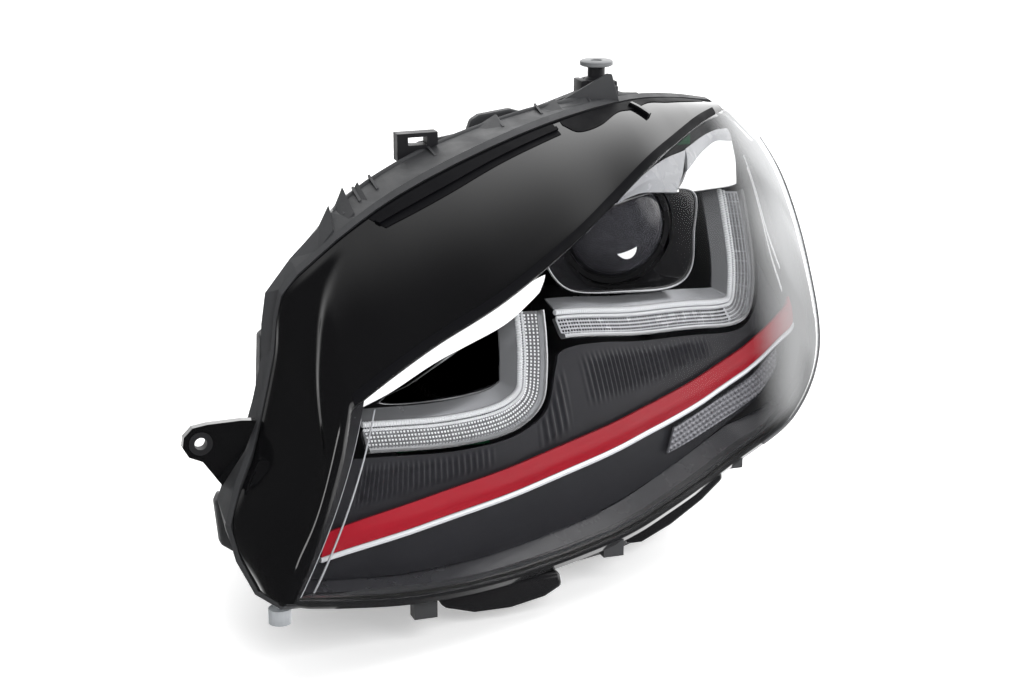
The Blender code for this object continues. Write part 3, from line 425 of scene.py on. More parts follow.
LOOK = {
    "housing": finish("Housing plastic", "housing_plastic", (0.046, 0.047, 0.050), 0.5,
                      wear=(60, 0.42, 0.62), mottle=(9, 0.25), grain=(700, 0.10, 0.5)),
    "lens": clear_shell("Clear lens", "clear_lens", -0.036, 0.6, 0.37),
    "border": finish("Piano black", "gloss_black", (0.0040, 0.0040, 0.0045), 0.06,
                     coat=(0.5, 0.02), wear=(25, 0.05, 0.09)),
    "rubber": finish("Seal rubber", "seal_rubber", (0.012, 0.012, 0.012), 0.75,
                     mottle=(40, 0.2), grain=(1400, 0.06)),
    "bezel": finish("Bezel grey", "bezel_grey", (0.018, 0.018, 0.021), 0.34, coat=(0.08, 0.15),
                    Specular_IOR_Level=0.15, wear=(80, 0.28, 0.38), mottle=(14, 0.06)),
    "red": finish("Red trim", "red_trim", (0.25, 0.008, 0.016), 0.2, coat=(0.2, 0.06),
                  Specular_IOR_Level=0.2, wear=(50, 0.16, 0.26), mottle=(12, 0.06)),
    "chrome": finish("Bright chrome", "chrome", (0.42, 0.425, 0.44), 0.14, 0.72,
                     wear=(60, 0.08, 0.18)),
    "bright": finish("Polished chrome", "chrome", (0.85, 0.86, 0.90), 0.12, 0.45,
                     wear=(60, 0.10, 0.20)),
    "satin_chrome": finish("Satin chrome", "chrome", (0.28, 0.285, 0.30), 0.2, 0.6,
                           wear=(45, 0.16, 0.28)),
    "guide": finish("Light guide acrylic", "light_guide", (0.66, 0.67, 0.69), 0.12,
                    Transmission_Weight=0.25, IOR=1.49, coat=(0.5, 0.05), clear=True),
    "dots": finish("Prism dots", "light_guide", (0.80, 0.81, 0.83), 0.2, coat=(0.6, 0.05),
                   wear=(300, 0.12, 0.28)),
    "field_grey": finish("Field grey", "chrome", (0.16, 0.162, 0.17), 0.25, 0.3,
                         wear=(60, 0.2, 0.32)),
    "field_white": finish("Field bright", "chrome", (0.40, 0.41, 0.43), 0.25, 0.3,
                          wear=(60, 0.2, 0.32)),
    "recess": finish("Recess black", "shroud_black", (0.004, 0.004, 0.005), 0.4,
                     Specular_IOR_Level=0.06, wear=(60, 0.45, 0.6)),
    "marker": finish("Marker prisms", "light_guide", (0.20, 0.20, 0.22), 0.12, 0.5,
                     coat=(0.6, 0.04), wear=(80, 0.08, 0.2)),
    "skirt": finish("Skirt grey", "bezel_grey", (0.030, 0.030, 0.034), 0.25, coat=(0.4, 0.1),
                    wear=(30, 0.2, 0.32)),
    "bar": finish("Edge bars", "clear_lens", (0.42, 0.43, 0.45), 0.18, 0.3,
                  wear=(60, 0.14, 0.26)),
    # The white trim made darker: painted shade on the outer eyebrow's top and tip facets.
    "milky": finish("White trim with painted shade", "white_trim", (0.24, 0.245, 0.26), 0.26, coat=(0.4, 0.08),
                    wear=(60, 0.2, 0.32), mottle=(26, 0.08)),
    "shroud": finish("Shroud black", "shroud_black", (0.012, 0.012, 0.013), 0.12,
                     coat=(0.5, 0.05), wear=(50, 0.10, 0.18)),
    "dark_chrome": finish("Dark mirror", "dark_chrome", (0.030, 0.031, 0.034), 0.18, 1.0,
                          wear=(50, 0.12, 0.22)),
    "white": finish("White metallised trim", "white_trim", (0.93, 0.935, 0.945), 0.24,
                    coat=(0.3, 0.1), wear=(60, 0.18, 0.3), mottle=(30, 0.05)),
    "glass": finish("Projector glass", "projector_glass", (0.07, 0.07, 0.08), 0.02,
                    Transmission_Weight=0.6, IOR=1.52, coat=(0.3, 0.02), clear=True),
    "bulb": finish("Bulb glass", "bulb_glass", (0.95, 0.96, 0.98), 0.02,
                   Transmission_Weight=1.0, IOR=1.47, clear=True),
    "cast": finish("Die cast alloy", "aluminium", (0.42, 0.42, 0.43), 0.45, 1.0,
                   wear=(120, 0.35, 0.55), mottle=(30, 0.12), grain=(1500, 0.06)),
    "steel": finish("Zinc plated steel", "steel", (0.52, 0.52, 0.53), 0.3, 1.0,
                    wear=(140, 0.2, 0.4), mottle=(60, 0.1)),
    "black": finish("Matte black plastic", "black_plastic", (0.018, 0.018, 0.020), 0.5,
                    wear=(90, 0.42, 0.6), mottle=(25, 0.2), grain=(1800, 0.05)),
    "brass": finish("Brass pins", "brass", (0.62, 0.45, 0.18), 0.25, 1.0,
                    wear=(200, 0.2, 0.36)),
    "board": finish("Circuit board", "circuit_board", (0.02, 0.11, 0.05), 0.4,
                    mottle=(200, 0.25), grain=(2000, 0.03)),
    "sleeve": finish("Sleeve grey", "sleeve_grey", (0.16, 0.165, 0.17), 0.42,
                     wear=(90, 0.35, 0.5), mottle=(60, 0.12), grain=(1500, 0.04)),
    "frosted": finish("Frosted pin", "clear_grey", (0.45, 0.47, 0.49), 0.35,
                      Transmission_Weight=0.5, IOR=1.45, clear=True),
    "ring": finish("Ring black", "aluminium", (0.03, 0.03, 0.032), 0.25, 0.6,
                   wear=(80, 0.2, 0.32)),
    "rim": finish("Lens rim black", "gloss_black", (0.018, 0.018, 0.020), 0.22,
                  coat=(0.3, 0.08), wear=(40, 0.18, 0.28)),
    "edge_grey": finish("Lens edge grey", "clear_lens", (0.16, 0.163, 0.17), 0.3,
                        coat=(0.3, 0.08), wear=(40, 0.24, 0.36)),
}


# ==================== lens and border
ROLL, ROLL_LENGTH = 3.0, 2.6
FLANK_DEPTH = 5.0
# Where the hollow flank at the inner end starts, as the border runs from front to rear.
FLANK_CREASE = ((0.0, 3.3), (0.5, 4.7), (1.0, 5.9))
INSIDE = np.array([215.0, 250.0, 140.0])  # a point in the middle of the lamp


def build_lens():
    """Clear cover of even thickness, with its moulded edge."""
    u = spaced(0.0, LENS_END_U, 150)[:, None]
    v = spaced(0.0, 1.0, 48)[None, :]
    u, v = np.broadcast_arrays(u, v)
    front = behind(u, v, np.zeros(u.shape))
    back = behind(u, v, np.full(u.shape, LENS_T))
    lens = new_piece("clear_lens", *wall(front, back), "lens", sharp=50)
    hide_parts("outer_lens")


def border_front(s):
    """Front edge of the border: up the lens's inner end, then along its top."""
    side = skin(np.zeros_like(s), np.clip(s / SIDE_STEPS, 0.0, 1.0))
    top = spline(LENS_TOP, np.maximum(s - SIDE_STEPS, 0.0))
    return np.where((s <= SIDE_STEPS)[..., None], side, top)


def smoothed_normals(s):
    """Directions into the lamp along the border, smoothed so that its gloss runs evenly."""
    front, rear = border_front(s), spline(BORDER_REAR, s)
    along = np.gradient((front + rear) / 2, axis=0)
    normal = unit(np.cross(along, rear - front))
    side = np.sign(np.sum(normal * (INSIDE - rear), axis=-1, keepdims=True))
    normal = normal * np.where(side == 0, 1, side)
    for _ in range(14):
        padded = np.concatenate([normal[:1], normal, normal[-1:]])
        normal = unit(padded[:-2] + 2 * normal + padded[2:])
    return normal


BORDER_S = spaced(0.0, BORDER_END_S + 1.0, 320)
BORDER_NORMALS = smoothed_normals(BORDER_S)


def border_inward(s):
    """Direction into the lamp at places along the border."""
    return unit(np.stack([np.interp(s, BORDER_S, BORDER_NORMALS[:, k]) for k in range(3)], -1))


def flank(s, f):
    """Hollow of the border's inner flank, with a soft crease on its upper side."""
    crease = np.interp(f, *zip(*FLANK_CREASE))
    enter = np.clip((crease - s) / 0.55, 0.0, 1.0)
    leave = np.clip((s - 0.5) / 2.5, 0.0, 1.0)
    across = np.sin(math.pi * np.clip((f - 0.08) / 0.84, 0.0, 1.0)) ** 0.7
    return FLANK_DEPTH * enter * enter * (3 - 2 * enter) * leave * across


def border_at(s, f, lift=0.0):
    """Points of the crowned border face; f runs from the front to the rear edge."""
    s, f = np.broadcast_arrays(np.asarray(s, float), np.asarray(f, float))
    front, rear = border_front(s), spline(BORDER_REAR, s)
    width = np.linalg.norm(rear - front, axis=-1)
    crown = BORDER_CROWN * np.sin(math.pi * np.clip(f, 0, 1)) * np.clip(width / 60.0, 0.15, 1.2)
    rolled = ROLL * (1 - np.exp(-f * width / ROLL_LENGTH)) * np.clip(width / 40.0, 0.0, 1.0)
    rise = (crown + rolled + lift - flank(s, f))[..., None]
    return front * (1 - f[..., None]) + rear * f[..., None] - border_inward(s) * rise


def build_border():
    """Gloss-black frame above and beside the lens."""
    s = spaced(0.0, BORDER_END_S, 170)[:, None]
    f = (spaced(0.0, 1.0, 52) ** 1.8)[None, :]
    face, back = border_at(s, f), border_at(s, f, -BORDER_T)
    border = new_piece("gloss_border", *wall(face, back), "border", sharp=45)
    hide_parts("lens_border")


# Outlines round an edge: (outwards from the edge, inwards into the lamp).
FLANGE_OUTLINE = ((-1.5, -0.9), (3.2, -0.5), (5.2, 0.8), (5.8, 3.0), (4.6, 4.4), (-1.5, 3.4))
LOWER_FLANGE = ((-1.0, 3.4), (1.5, 3.2), (6.0, 6.5), (7.2, 9.5), (6.4, 12.0), (4.0, 13.0),
                (-1.0, 9.0))
# Undersides of the housing that show below the flange, as (x, z).
SUMP_OUTLINE = ((118, 6), (119, -2), (123, -7), (144, -13), (170, -13), (195, -8), (208, -1),
                (206, 9), (166, 8))
SUMP_2_OUTLINE = ((284, 20), (287, -11), (299, -11), (322, 0), (346, 16), (363, 31), (360, 44),
                  (320, 38))
# Edges of the pieces that lie on the border, as (place along it, share across it).
RAIL_LOW = ((6.6, .86), (7.2, .84), (7.8, .84), (8.55, .86), (9.2, .86), (9.62, .86))
RAIL_HIGH = ((6.3, 1.0), (7.1, 1.0), (7.8, 1.0), (8.5, 1.0), (9.2, 1.0), (9.6, 1.0))
RECESS_LOW = ((9.75, .95), (9.95, .80), (10.4, .76), (10.9, .84), (11.3, .80), (11.9, .88),
              (12.5, .80), (13.4, .78), (14.2, .86))
RECESS_HIGH = tuple((s, 1.0) for s, _ in RECESS_LOW)
CLIP_BAR_LOW = ((11.22, .90), (11.30, .78), (11.42, .56))
CLIP_BAR_HIGH = ((11.34, .91), (11.42, .79), (11.54, .57))
RIM_DEPTH = 0.6
LIP_WIDTH = 6.5
BEAD_SIDES = 10


def bead_angles():
    """Angles round a small bead."""
    return np.linspace(0, 2 * math.pi, BEAD_SIDES, endpoint=False)


def build_lens_rim():
    """Grey bead along the fender edge of the lens, where its moulded edge shows."""
    u = spaced(6.4, LENS_END_U, 90)
    edge = behind(u, 0 * u, RIM_DEPTH + 0 * u)
    across = unit(edge - behind(u, 0 * u + 0.05, RIM_DEPTH + 0 * u))
    deep = inward_of(skin, u, 0 * u + 0.02)
    bead = [edge + across * (math.cos(turn) * 0.8 + 0.5) + deep * math.sin(turn) * 1.5
            for turn in bead_angles()]
    rings_piece("lens_rim", np.array(bead).transpose(1, 0, 2), "edge_grey")


def edge_rings(edge, out, deep, outline, size=1.0):
    """Rings of an outline carried along an edge."""
    outline = np.array(outline)
    rings = edge[:, None] + out[:, None] * outline[:, :1] * size
    return rings + deep[:, None] * outline[:, 1:]


def build_lower_flange():
    """Black flange that the lens stands in, along its lower edge, and what hangs below it."""
    u = spaced(0.0, 8.4, 160)
    edge = behind(u, 0 * u, 0 * u)
    deep = inward_of(skin, u, 0 * u + 0.02)
    out = unit(edge - behind(u, 0 * u + 0.04, 0 * u))
    fade = np.interp(u, (0, 0.5, 4.5, 6.6, 8.4), (0.75, 1.0, 1.3, 1.0, 0.15))[:, None, None]
    rings_piece("lower_flange", edge_rings(edge, out, deep, LOWER_FLANGE, fade), "shroud")
    plate("lower_sump", SUMP_OUTLINE, 66, 104, "shroud", 3.0)
    plate("lower_sump_2", SUMP_2_OUTLINE, 146, 176, "shroud", 3.0)
    build_lens_rim()


def border_patch(name, low, high, lift, thickness, cols, rows, look="recess"):
    """Plate lying on the border between two (s, f) edges."""
    s, f = band_places(low, high, cols, rows)
    top, bottom = border_at(s, f, lift), border_at(s, f, lift - thickness)
    return new_piece(name, *wall(top, bottom), look)


def between(low, high, share):
    """Edge at a share of the way from a low to a high edge."""
    return np.array(low) * (1 - share) + np.array(high) * share


def build_border_trim():
    """Black flange round the rear edge, the rail along the top and the small clip bar."""
    build_lower_flange()
    s = spaced(0.0, 12.4, 200)
    rear, front = spline(BORDER_REAR, s), border_front(s)
    rings = edge_rings(rear, unit(rear - front), border_inward(s), FLANGE_OUTLINE)
    rings_piece("border_flange", rings, "recess")
    build_border_lip()
    border_patch("rail_bed", RAIL_LOW, RAIL_HIGH, 0.5, 1.2, 120, 6)
    border_patch("rail", between(RAIL_LOW, RAIL_HIGH, 0.38), between(RAIL_LOW, RAIL_HIGH, 0.66),
                 2.0, 2.2, 120, 4)
    border_patch("rear_recess", RECESS_LOW, RECESS_HIGH, 0.5, 1.2, 120, 8)
    border_patch("clip_bar", CLIP_BAR_LOW, CLIP_BAR_HIGH, 2.4, 2.8, 16, 4)
    border_patch("clip_bar_face", between(CLIP_BAR_LOW, CLIP_BAR_HIGH, 0.2),
                 between(CLIP_BAR_LOW, CLIP_BAR_HIGH, 0.8), 3.2, 1.2, 16, 4, "shroud")


def build_border_lip():
    """Black lip along the border's front edge, over the lens."""
    s = spaced(SIDE_STEPS + 0.1, 14.2, 60)
    width = np.linalg.norm(border_front(s) - spline(BORDER_REAR, s), axis=-1)
    reach = np.clip(LIP_WIDTH / width, 0.0, 0.6)
    low, high = np.stack([s, 0.0 * s], -1), np.stack([s, reach], -1)
    border_patch("border_lip", low, high, 0.35, 0.8, 240, 8)


# ==================== trim and bezel
BEZEL_LOW = ((0.2, .07), (1, .06), (1.7, .06), (2.3, .06), (2.94, .06), (3.3, .06), (3.6, .06),
             (3.9, .065), (4.2, .07), (4.7, .07), (5.3, .07), (6.1, .08), (6.7, .09), (7.2, .1),
             (7.7, .11), (8.1, .12))
BEZEL_HIGH = ((0.2, .73), (1, .66), (1.7, .595), (2.3, .54), (2.94, .50), (3.25, .50),
              (3.48, .535), (3.64, .66), (3.78, .70), (4.4, .63), (5.08, .54), (6.16, .41),
              (6.8, .345), (7.2, .33), (7.62, .35), (8.0, .41))
STRIP_HIGH = ((0.40, .31), (0.70, .336), (1.61, .375), (2.39, .392), (3.10, .39), (3.75, .38),
              (4.72, .346), (5.84, .302), (6.66, .29), (7.17, .272), (7.77, .22), (8.35, .13))
STRIP_LOW = ((0.55, .165), (0.86, .186), (1.68, .235), (2.41, .264), (3.11, .271), (3.73, .27),
             (4.66, .249), (5.75, .213), (6.51, .206), (6.96, .198), (7.48, .165), (8.02, .09))
RED_SHARE, STRIP_GAP = 0.80, 0.02
SMALL_U = ((1.01, .68), (1.7, .615), (2.30, .56), (2.94, .52), (3.25, .525), (3.44, .57),
           (3.53, .67), (3.59, .77), (3.64, .87))
LARGE_U = ((3.80, .735), (4.4, .65), (5.08, .56), (6.16, .43), (6.80, .365), (7.20, .35),
           (7.60, .39), (8.28, .49), (9.0, .55))
U_DEPTH = 22.0
BEZEL_DEPTH = 23.0
STRIP_DEPTH = 18.0
TRIM_T = 2.5
RIB_PITCH, RIB_HEIGHT = 0.075, 1.0
LINE_PITCH, LINE_HEIGHT = 0.022, 0.16


def ripple(position, pitch):
    """Rounded ribs: 0 in the valleys and 1 on the crests, one every pitch."""
    return 0.5 - 0.5 * np.cos(2 * math.pi * position / pitch)


def window(value, start, stop, soft):
    """1 between start and stop, fading to 0 over soft on either side."""
    rise = np.clip((value - start) / soft, 0.0, 1.0)
    fall = np.clip((stop - value) / soft, 0.0, 1.0)
    return rise * fall


def edge_height(u, edge):
    """Height of an edge on the lens at places along it."""
    return np.interp(u, *zip(*edge))


def bezel_relief(u, v):
    """Upright ribs under each U, and fine lines along the panel below the red strip."""
    top, strip = edge_height(u, BEZEL_HIGH), edge_height(u, STRIP_HIGH)
    fall = np.clip((top - v) / np.maximum(top - strip, 0.02), 0.0, 1.0)
    under_small = window(u, 0.85, 2.9, 0.15) * window(fall, 0.12, 0.80, 0.12)
    under_large = window(u, 3.9, 6.3, 0.2) * window(fall, 0.10, 0.72, 0.12)
    side = window(u, 3.35, 3.75, 0.1) * window(fall, 0.10, 0.9, 0.12)
    upright = (under_small + under_large + side) * ripple(u + 0.25 * v, RIB_PITCH) * RIB_HEIGHT
    below = (v < edge_height(u, STRIP_LOW) - 0.01)
    lines = window(v, 0.08, 0.98, 0.02) * below * ripple(v, LINE_PITCH) * LINE_HEIGHT
    return upright + lines


def build_bezel():
    """Grey panel that carries the lamp's face."""
    band("lower_bezel", BEZEL_LOW, BEZEL_HIGH, BEZEL_DEPTH, BEZEL_DEPTH + TRIM_T, 900, 46,
         "bezel", bezel_relief, ("bezel",))


def split_band(start, stop):
    """The part of the strip between two shares of the way from its high to its low edge."""
    return between(STRIP_HIGH, STRIP_LOW, stop), between(STRIP_HIGH, STRIP_LOW, start)


def crowned(height):
    """Relief that bows a strip outwards across its width."""
    def relief(u, v):
        rows = u.shape[1]
        return np.broadcast_to(height * np.sin(np.linspace(0, math.pi, rows)), u.shape)
    return relief


def build_strips():
    """Red strip across the lamp's face, and the chrome line under it."""
    low, high = split_band(0.0, RED_SHARE)
    band("red_strip", low, high, STRIP_DEPTH, STRIP_DEPTH + TRIM_T, 200, 12, "red",
         crowned(1.1), ("red_trim_strip",))
    low, high = split_band(RED_SHARE + STRIP_GAP, 1.0)
    band("chrome_strip", low, high, STRIP_DEPTH, STRIP_DEPTH + TRIM_T, 200, 8, "bright",
         crowned(0.8), ("chrome_trim_strip",))


# ==================== daytime U lights
# Millimetres over which the cross direction turns, so that inner corners stay round.
TURN_LENGTH = 26.0
# Outlines across a U: (across from its inner edge, deeper into the lamp).
TROUGH = ((0, 0), (0.6, -0.9), (1.8, -1.2), (3.0, -0.6), (3.6, 1.2), (4.2, 3.2), (14.2, 6.6),
          (15.2, 6.4), (15.4, 9.0), (15.0, 10.2), (4.0, 6.4), (0, 4.0))
FIELD = ((4.0, 2.8), (14.4, 6.3), (14.4, 6.9), (4.0, 3.4))
FIELD_SLOPE = 0.337  # depth of the field's face gained for each millimetre across it
APRON = ((21.6, 6.4), (24.0, 8.2), (30.5, 14.0), (30.5, 15.2), (24.0, 9.6), (21.6, 7.6))
GUIDES = (("guide", 19.3, 6.2, 2.3), ("guide_line", 15.6, 5.6, 1.35))
FLUTE_PITCH, FLUTE_DEPTH, FLUTE_STEPS = 2.0, 0.55, 5
PRISM_PITCH, PRISM_ROWS, PRISM_HEIGHT = 2.6, 4, 0.8
PRISM_START, PRISM_STOP = 5.3, 13.1


def u_frames(points, count):
    """Evenly spaced points of a U with its side and depth directions, and its length."""
    points = np.array(points, float)
    fine = spline(points, spaced(0.0, len(points) - 1.0, 400))
    line = behind(fine[:, 0], fine[:, 1], U_DEPTH)
    run = np.concatenate([[0.0], np.cumsum(np.linalg.norm(np.diff(line, axis=0), axis=1))])
    at = np.linspace(0.0, run[-1], count + 1)
    u, v = np.interp(at, run, fine[:, 0]), np.interp(at, run, fine[:, 1])
    path = behind(u, v, U_DEPTH)
    inward = inward_of(skin, u, v)
    tangent = unit(np.gradient(path, axis=0))
    side = smoothed(unit(np.cross(tangent, inward)), TURN_LENGTH / run[-1] * count)
    deep = unit(np.cross(side, unit(np.cross(inward, side))))
    return path, side, deep, run[-1]


def smoothed(vectors, reach):
    """Unit vectors averaged along a path over a bell of the given reach, in steps."""
    offsets = np.arange(-int(2 * reach), int(2 * reach) + 1)
    weights = np.exp(-(offsets / (0.55 * reach)) ** 2)
    weights /= weights.sum()
    index = np.arange(len(vectors))
    total = 0
    for offset, weight in zip(offsets, weights):
        total = total + vectors[np.clip(index + offset, 0, len(vectors) - 1)] * weight
    return unit(total)


def swept(name, frames, profiles, look):
    """Closed solid along a U from (side, depth) outlines, one outline for each path point."""
    path, side, deep, _ = frames
    profiles = np.asarray(profiles, float)
    if profiles.ndim == 2:
        profiles = np.broadcast_to(profiles, (len(path), *profiles.shape))
    rings = path[:, None] + side[:, None] * profiles[..., :1] + deep[:, None] * profiles[..., 1:]
    return rings_piece(name, rings, look)


def guide_profiles(length, count, across, deep, size):
    """Round light guide with fine flutes across it."""
    along = np.linspace(0.0, length, count + 1)
    radius = size - FLUTE_DEPTH * (1 - ripple(along, FLUTE_PITCH))
    angles = np.linspace(0, 2 * math.pi, 16, endpoint=False)
    ring = np.stack([np.cos(angles), np.sin(angles)], -1)
    return ring[None] * radius[:, None, None] + np.array([across, deep])


def prism_points(frames, start, stop, spread):
    """Pyramid studs in rows over the field, between two shares of the way along it."""
    path, side, deep, length = frames
    count = int(length / PRISM_PITCH)
    half = PRISM_PITCH * spread
    points, faces = [], []
    for i in range(int(count * start) + 1, int(count * stop)):
        k = int(i / count * (len(path) - 1))
        s, d = side[k], deep[k]
        t = unit(np.cross(d, s))
        for across in np.linspace(PRISM_START, PRISM_STOP, PRISM_ROWS):
            depth = FIELD[0][1] + (across - FIELD[0][0]) * FIELD_SLOPE
            centre = path[k] + s * across + d * (depth + 0.05)
            corners = [centre + t * a * half + s * b * half
                       for a, b in ((-1, -1), (1, -1), (1, 1), (-1, 1))]
            add_pyramid(points, faces, corners, centre - d * PRISM_HEIGHT)
    return points, faces


def build_daytime_light(side_name, points, field, studs):
    """Bright trough, fluted guides, apron and the stud field of one U.

    studs lists (piece name, look, start, stop, spread) for each stretch of the field.
    """
    even = u_frames(points, 140)
    trough = swept(side_name + "_trough", even, TROUGH, "chrome")
    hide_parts(side_name + "_daytime_reflector")
    swept(side_name + "_field", even, FIELD, field)
    swept(side_name + "_apron", even, APRON, "satin_chrome")
    count = int(even[3] / (FLUTE_PITCH / FLUTE_STEPS))
    fine = u_frames(points, count)
    for part, across, deep, size in GUIDES:
        guide = swept(side_name + "_" + part, fine,
                      guide_profiles(fine[3], count, across, deep, size), "guide")
        if part == "guide":
            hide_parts(side_name + "_light_guide")
    dense = u_frames(points, 600)
    for name, look, start, stop, spread in studs:
        new_piece(side_name + name, *prism_points(dense, start, stop, spread), look, sharp=5)


# ==================== bowls behind the Us
def ring_about(points, centre, count):
    """Closed curve through points round a centre, resampled at equal angles in x and z."""
    points = np.array(points, float)
    closed = np.concatenate([points[-1:], points, points[:2]])
    curve = spline(closed, np.linspace(1.0, len(points) + 1.0, 900)[:-1])
    angle = np.arctan2(curve[:, 2] - centre[1], curve[:, 0] - centre[0])
    goals = -math.pi + 2 * math.pi * (np.arange(count) + 0.5) / count
    gap = np.abs((angle[None] - goals[:, None] + math.pi) % (2 * math.pi) - math.pi)
    return curve[np.argmin(gap, axis=1)]


def circle_at(centre, radius, y, count):
    """Circle at a depth, at the same angles as ring_about."""
    angle = -math.pi + 2 * math.pi * (np.arange(count) + 0.5) / count
    return np.stack([centre[0] + radius * np.cos(angle), np.full(count, y),
                     centre[1] + radius * np.sin(angle)], -1)


def shrunk(ring, centre, amount):
    """A ring moved in towards its centre, seen from the front."""
    flat = np.stack([centre[0] - ring[:, 0], np.zeros(len(ring)), centre[1] - ring[:, 2]], -1)
    return ring + unit(flat) * amount


def funnel_rings(rim, rear, centre, thickness, count, sag):
    """Rings of an open bowl wall between a rim and a rear circle, bowed by sag."""
    outer = []
    for f in spaced(0.0, 1.0, count):
        bow = sag * math.sin(math.pi * f)
        ring = rim * (1 - f) + rear * f
        outer.append(shrunk(ring, centre, -bow))
    inner = [shrunk(ring, centre, thickness) for ring in outer]
    return outer + inner[::-1]


SHROUD_RIM = ((226, 152, 203), (244, 152, 184), (290, 168, 175), (335, 187, 170),
              (354, 196, 180), (360, 206, 205), (362, 211, 232), (338, 206, 238),
              (300, 192, 236), (258, 176, 230), (232, 160, 218))
INNER_RIM = ((82, 84, 140), (104, 91, 134), (150, 104, 131), (178, 113, 136), (189, 121, 155),
             (188, 128, 176), (170, 118, 172), (140, 106, 160), (105, 92, 146))
BOWL_POINTS = 160
STUD_FIRST, STUD_ROWS, STUD_COLUMNS = 3, 9, 60


def build_shroud():
    """Black funnel round the projector."""
    centre = (AXIS[0], AXIS[2])
    rim = ring_about(SHROUD_RIM, centre, BOWL_POINTS)
    rear = circle_at(centre, 45.2, 206.0, BOWL_POINTS)
    rings = funnel_rings(rim, rear, centre, 2.0, 14, 2.0)
    shroud = rings_piece("black_shroud", rings, "shroud", ends="join")
    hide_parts("projector_shroud")
    bright_rim("shroud_rim", rim, centre)


def bright_rim(name, rim, centre):
    """Thin bright bead along the lip of a bowl."""
    angles = bead_angles()
    flat = unit(np.stack([rim[:, 0] - centre[0], np.zeros(len(rim)), rim[:, 2] - centre[1]], -1))
    forward = np.array([0.0, -1.0, 0.0])
    offsets = np.stack([np.cos(angles), np.sin(angles)], -1) * 0.9
    rings = [rim + flat * a + forward * (b + 0.8) for a, b in offsets]
    rings_piece(name, np.array(rings), "chrome", ends="join")


def build_inner_bowl():
    """Dark bowl behind the inner U."""
    centre = (145.0, 150.0)
    rim = ring_about(INNER_RIM, centre, BOWL_POINTS)
    throat = circle_at(centre, 13.0, 172.0, BOWL_POINTS)
    middle = circle_at(centre, 30.0, 142.0, BOWL_POINTS)
    outer = [rim * (1 - f) ** 2 + middle * 2 * f * (1 - f) + throat * f ** 2
             for f in spaced(0.0, 1.0, 20)]
    inner = [shrunk(ring, centre, 1.8) for ring in outer]
    bowl = rings_piece("dark_bowl", outer + inner[::-1], "dark_chrome", ends="join")
    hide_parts("inner_reflector")
    bright_rim("bowl_rim", rim, centre)
    build_bowl_studs(inner, centre)


def build_bowl_studs(rings, centre):
    """Diamond studs over the wall of the dark bowl."""
    points, faces = [], []
    for r in range(STUD_FIRST, STUD_FIRST + STUD_ROWS):
        ring = rings[r]
        for k in range(STUD_COLUMNS):
            i = int((k + 0.5 * (r % 2)) / STUD_COLUMNS * len(ring)) % len(ring)
            here = ring[i]
            along = unit(ring[(i + 1) % len(ring)] - here)
            across = unit(rings[r + 1][i] - here)
            normal = unit(np.cross(along, across))
            if np.dot(normal, np.array([centre[0], 150.0, centre[1]]) - here) < 0:
                normal = -normal
            corners = [here + along * a * 1.2 + across * b * 1.6 + normal * 0.05
                       for a, b in ((1, 0), (0, 1), (-1, 0), (0, -1))]
            add_pyramid(points, faces, corners, here + normal * 0.9)
    new_piece("bowl_studs", points, faces, "dark_chrome", sharp=5)


# ==================== eyebrows, marker and lens edges
INNER_BROW_LOW = ((0.26, .975), (1.09, .935), (1.93, .937), (2.51, .932), (3.02, .924),
                  (3.34, .935), (3.51, .944))
INNER_BROW_HIGH = ((0.30, .996), (1.2, .997), (2.0, .997), (2.6, .997), (3.1, .997),
                   (3.4, .996), (3.58, .985))
BROW_LOW = ((6.50, .874), (7.075, .829), (7.65, .776), (8.293, .703))
BROW_MID = ((7.03, .905), (7.87, .913), (8.7, .89), (9.35, .80))
BROW_TOP = ((7.27, .965), (8.2, .955), (8.9, .93), (9.45, .88))
TIP_LOW = ((5.2, .990), (5.65, .957), (6.06, .913), (6.49, .873))
TIP_HIGH = ((5.4, .997), (6.12, .99), (6.64, .982), (7.25, .962))


def build_turn_reflectors():
    """White eyebrow reflectors over each U; the outer one is made of three facets, whose top and
    tip take a darker copy of the white trim as painted shade.
    """
    band("inner_eyebrow", INNER_BROW_LOW, INNER_BROW_HIGH, (9.0, 3.6), (11.0, 5.6), 120, 14,
         "white", folded(1.2, 0.62), ("inner_turn_reflector",))
    band("outer_eyebrow", BROW_LOW, BROW_MID, (10.0, 8.0), (12.0, 10.0), 80, 18,
         "white", folded(1.6, 0.45), ("outer_turn_reflector",))
    # Top and tip facets: the white trim painted darker, as painted shade.
    band("outer_eyebrow_top", BROW_MID, BROW_TOP, (7.5, 4.6), (9.5, 6.6), 60, 12,
         "milky", folded(0.8, 0.5))
    band("outer_eyebrow_tip", TIP_LOW, TIP_HIGH, (9.6, 4.6), (11.6, 6.6), 60, 18,
         "milky", folded(1.6, 0.4))


def folded(height, crease):
    """Relief with one crease along a plate."""
    def relief(u, v):
        f = np.linspace(0.0, 1.0, u.shape[1])
        profile = np.where(f < crease, f / crease, (1 - f) / (1 - crease))
        return np.broadcast_to(height * profile, u.shape)
    return relief


def waves(u, v):
    """Small waves of the side marker."""
    return ripple(u + 2.0 * v, 0.065) * ripple(v + 0.02 * u, 0.017) * 1.3


def build_side_marker():
    """Clear wave-patterned reflector at the fender end, below the strips."""
    low = ((5.15, .135), (5.7, .12), (6.3, .11), (6.9, .115), (7.25, .125))
    high = ((5.30, .205), (5.9, .19), (6.5, .185), (7.05, .18), (7.40, .165))
    band("side_marker", low, high, STRIP_DEPTH + 1, STRIP_DEPTH + TRIM_T, 260, 60,
         "marker", waves, ("side_marker_reflector",))


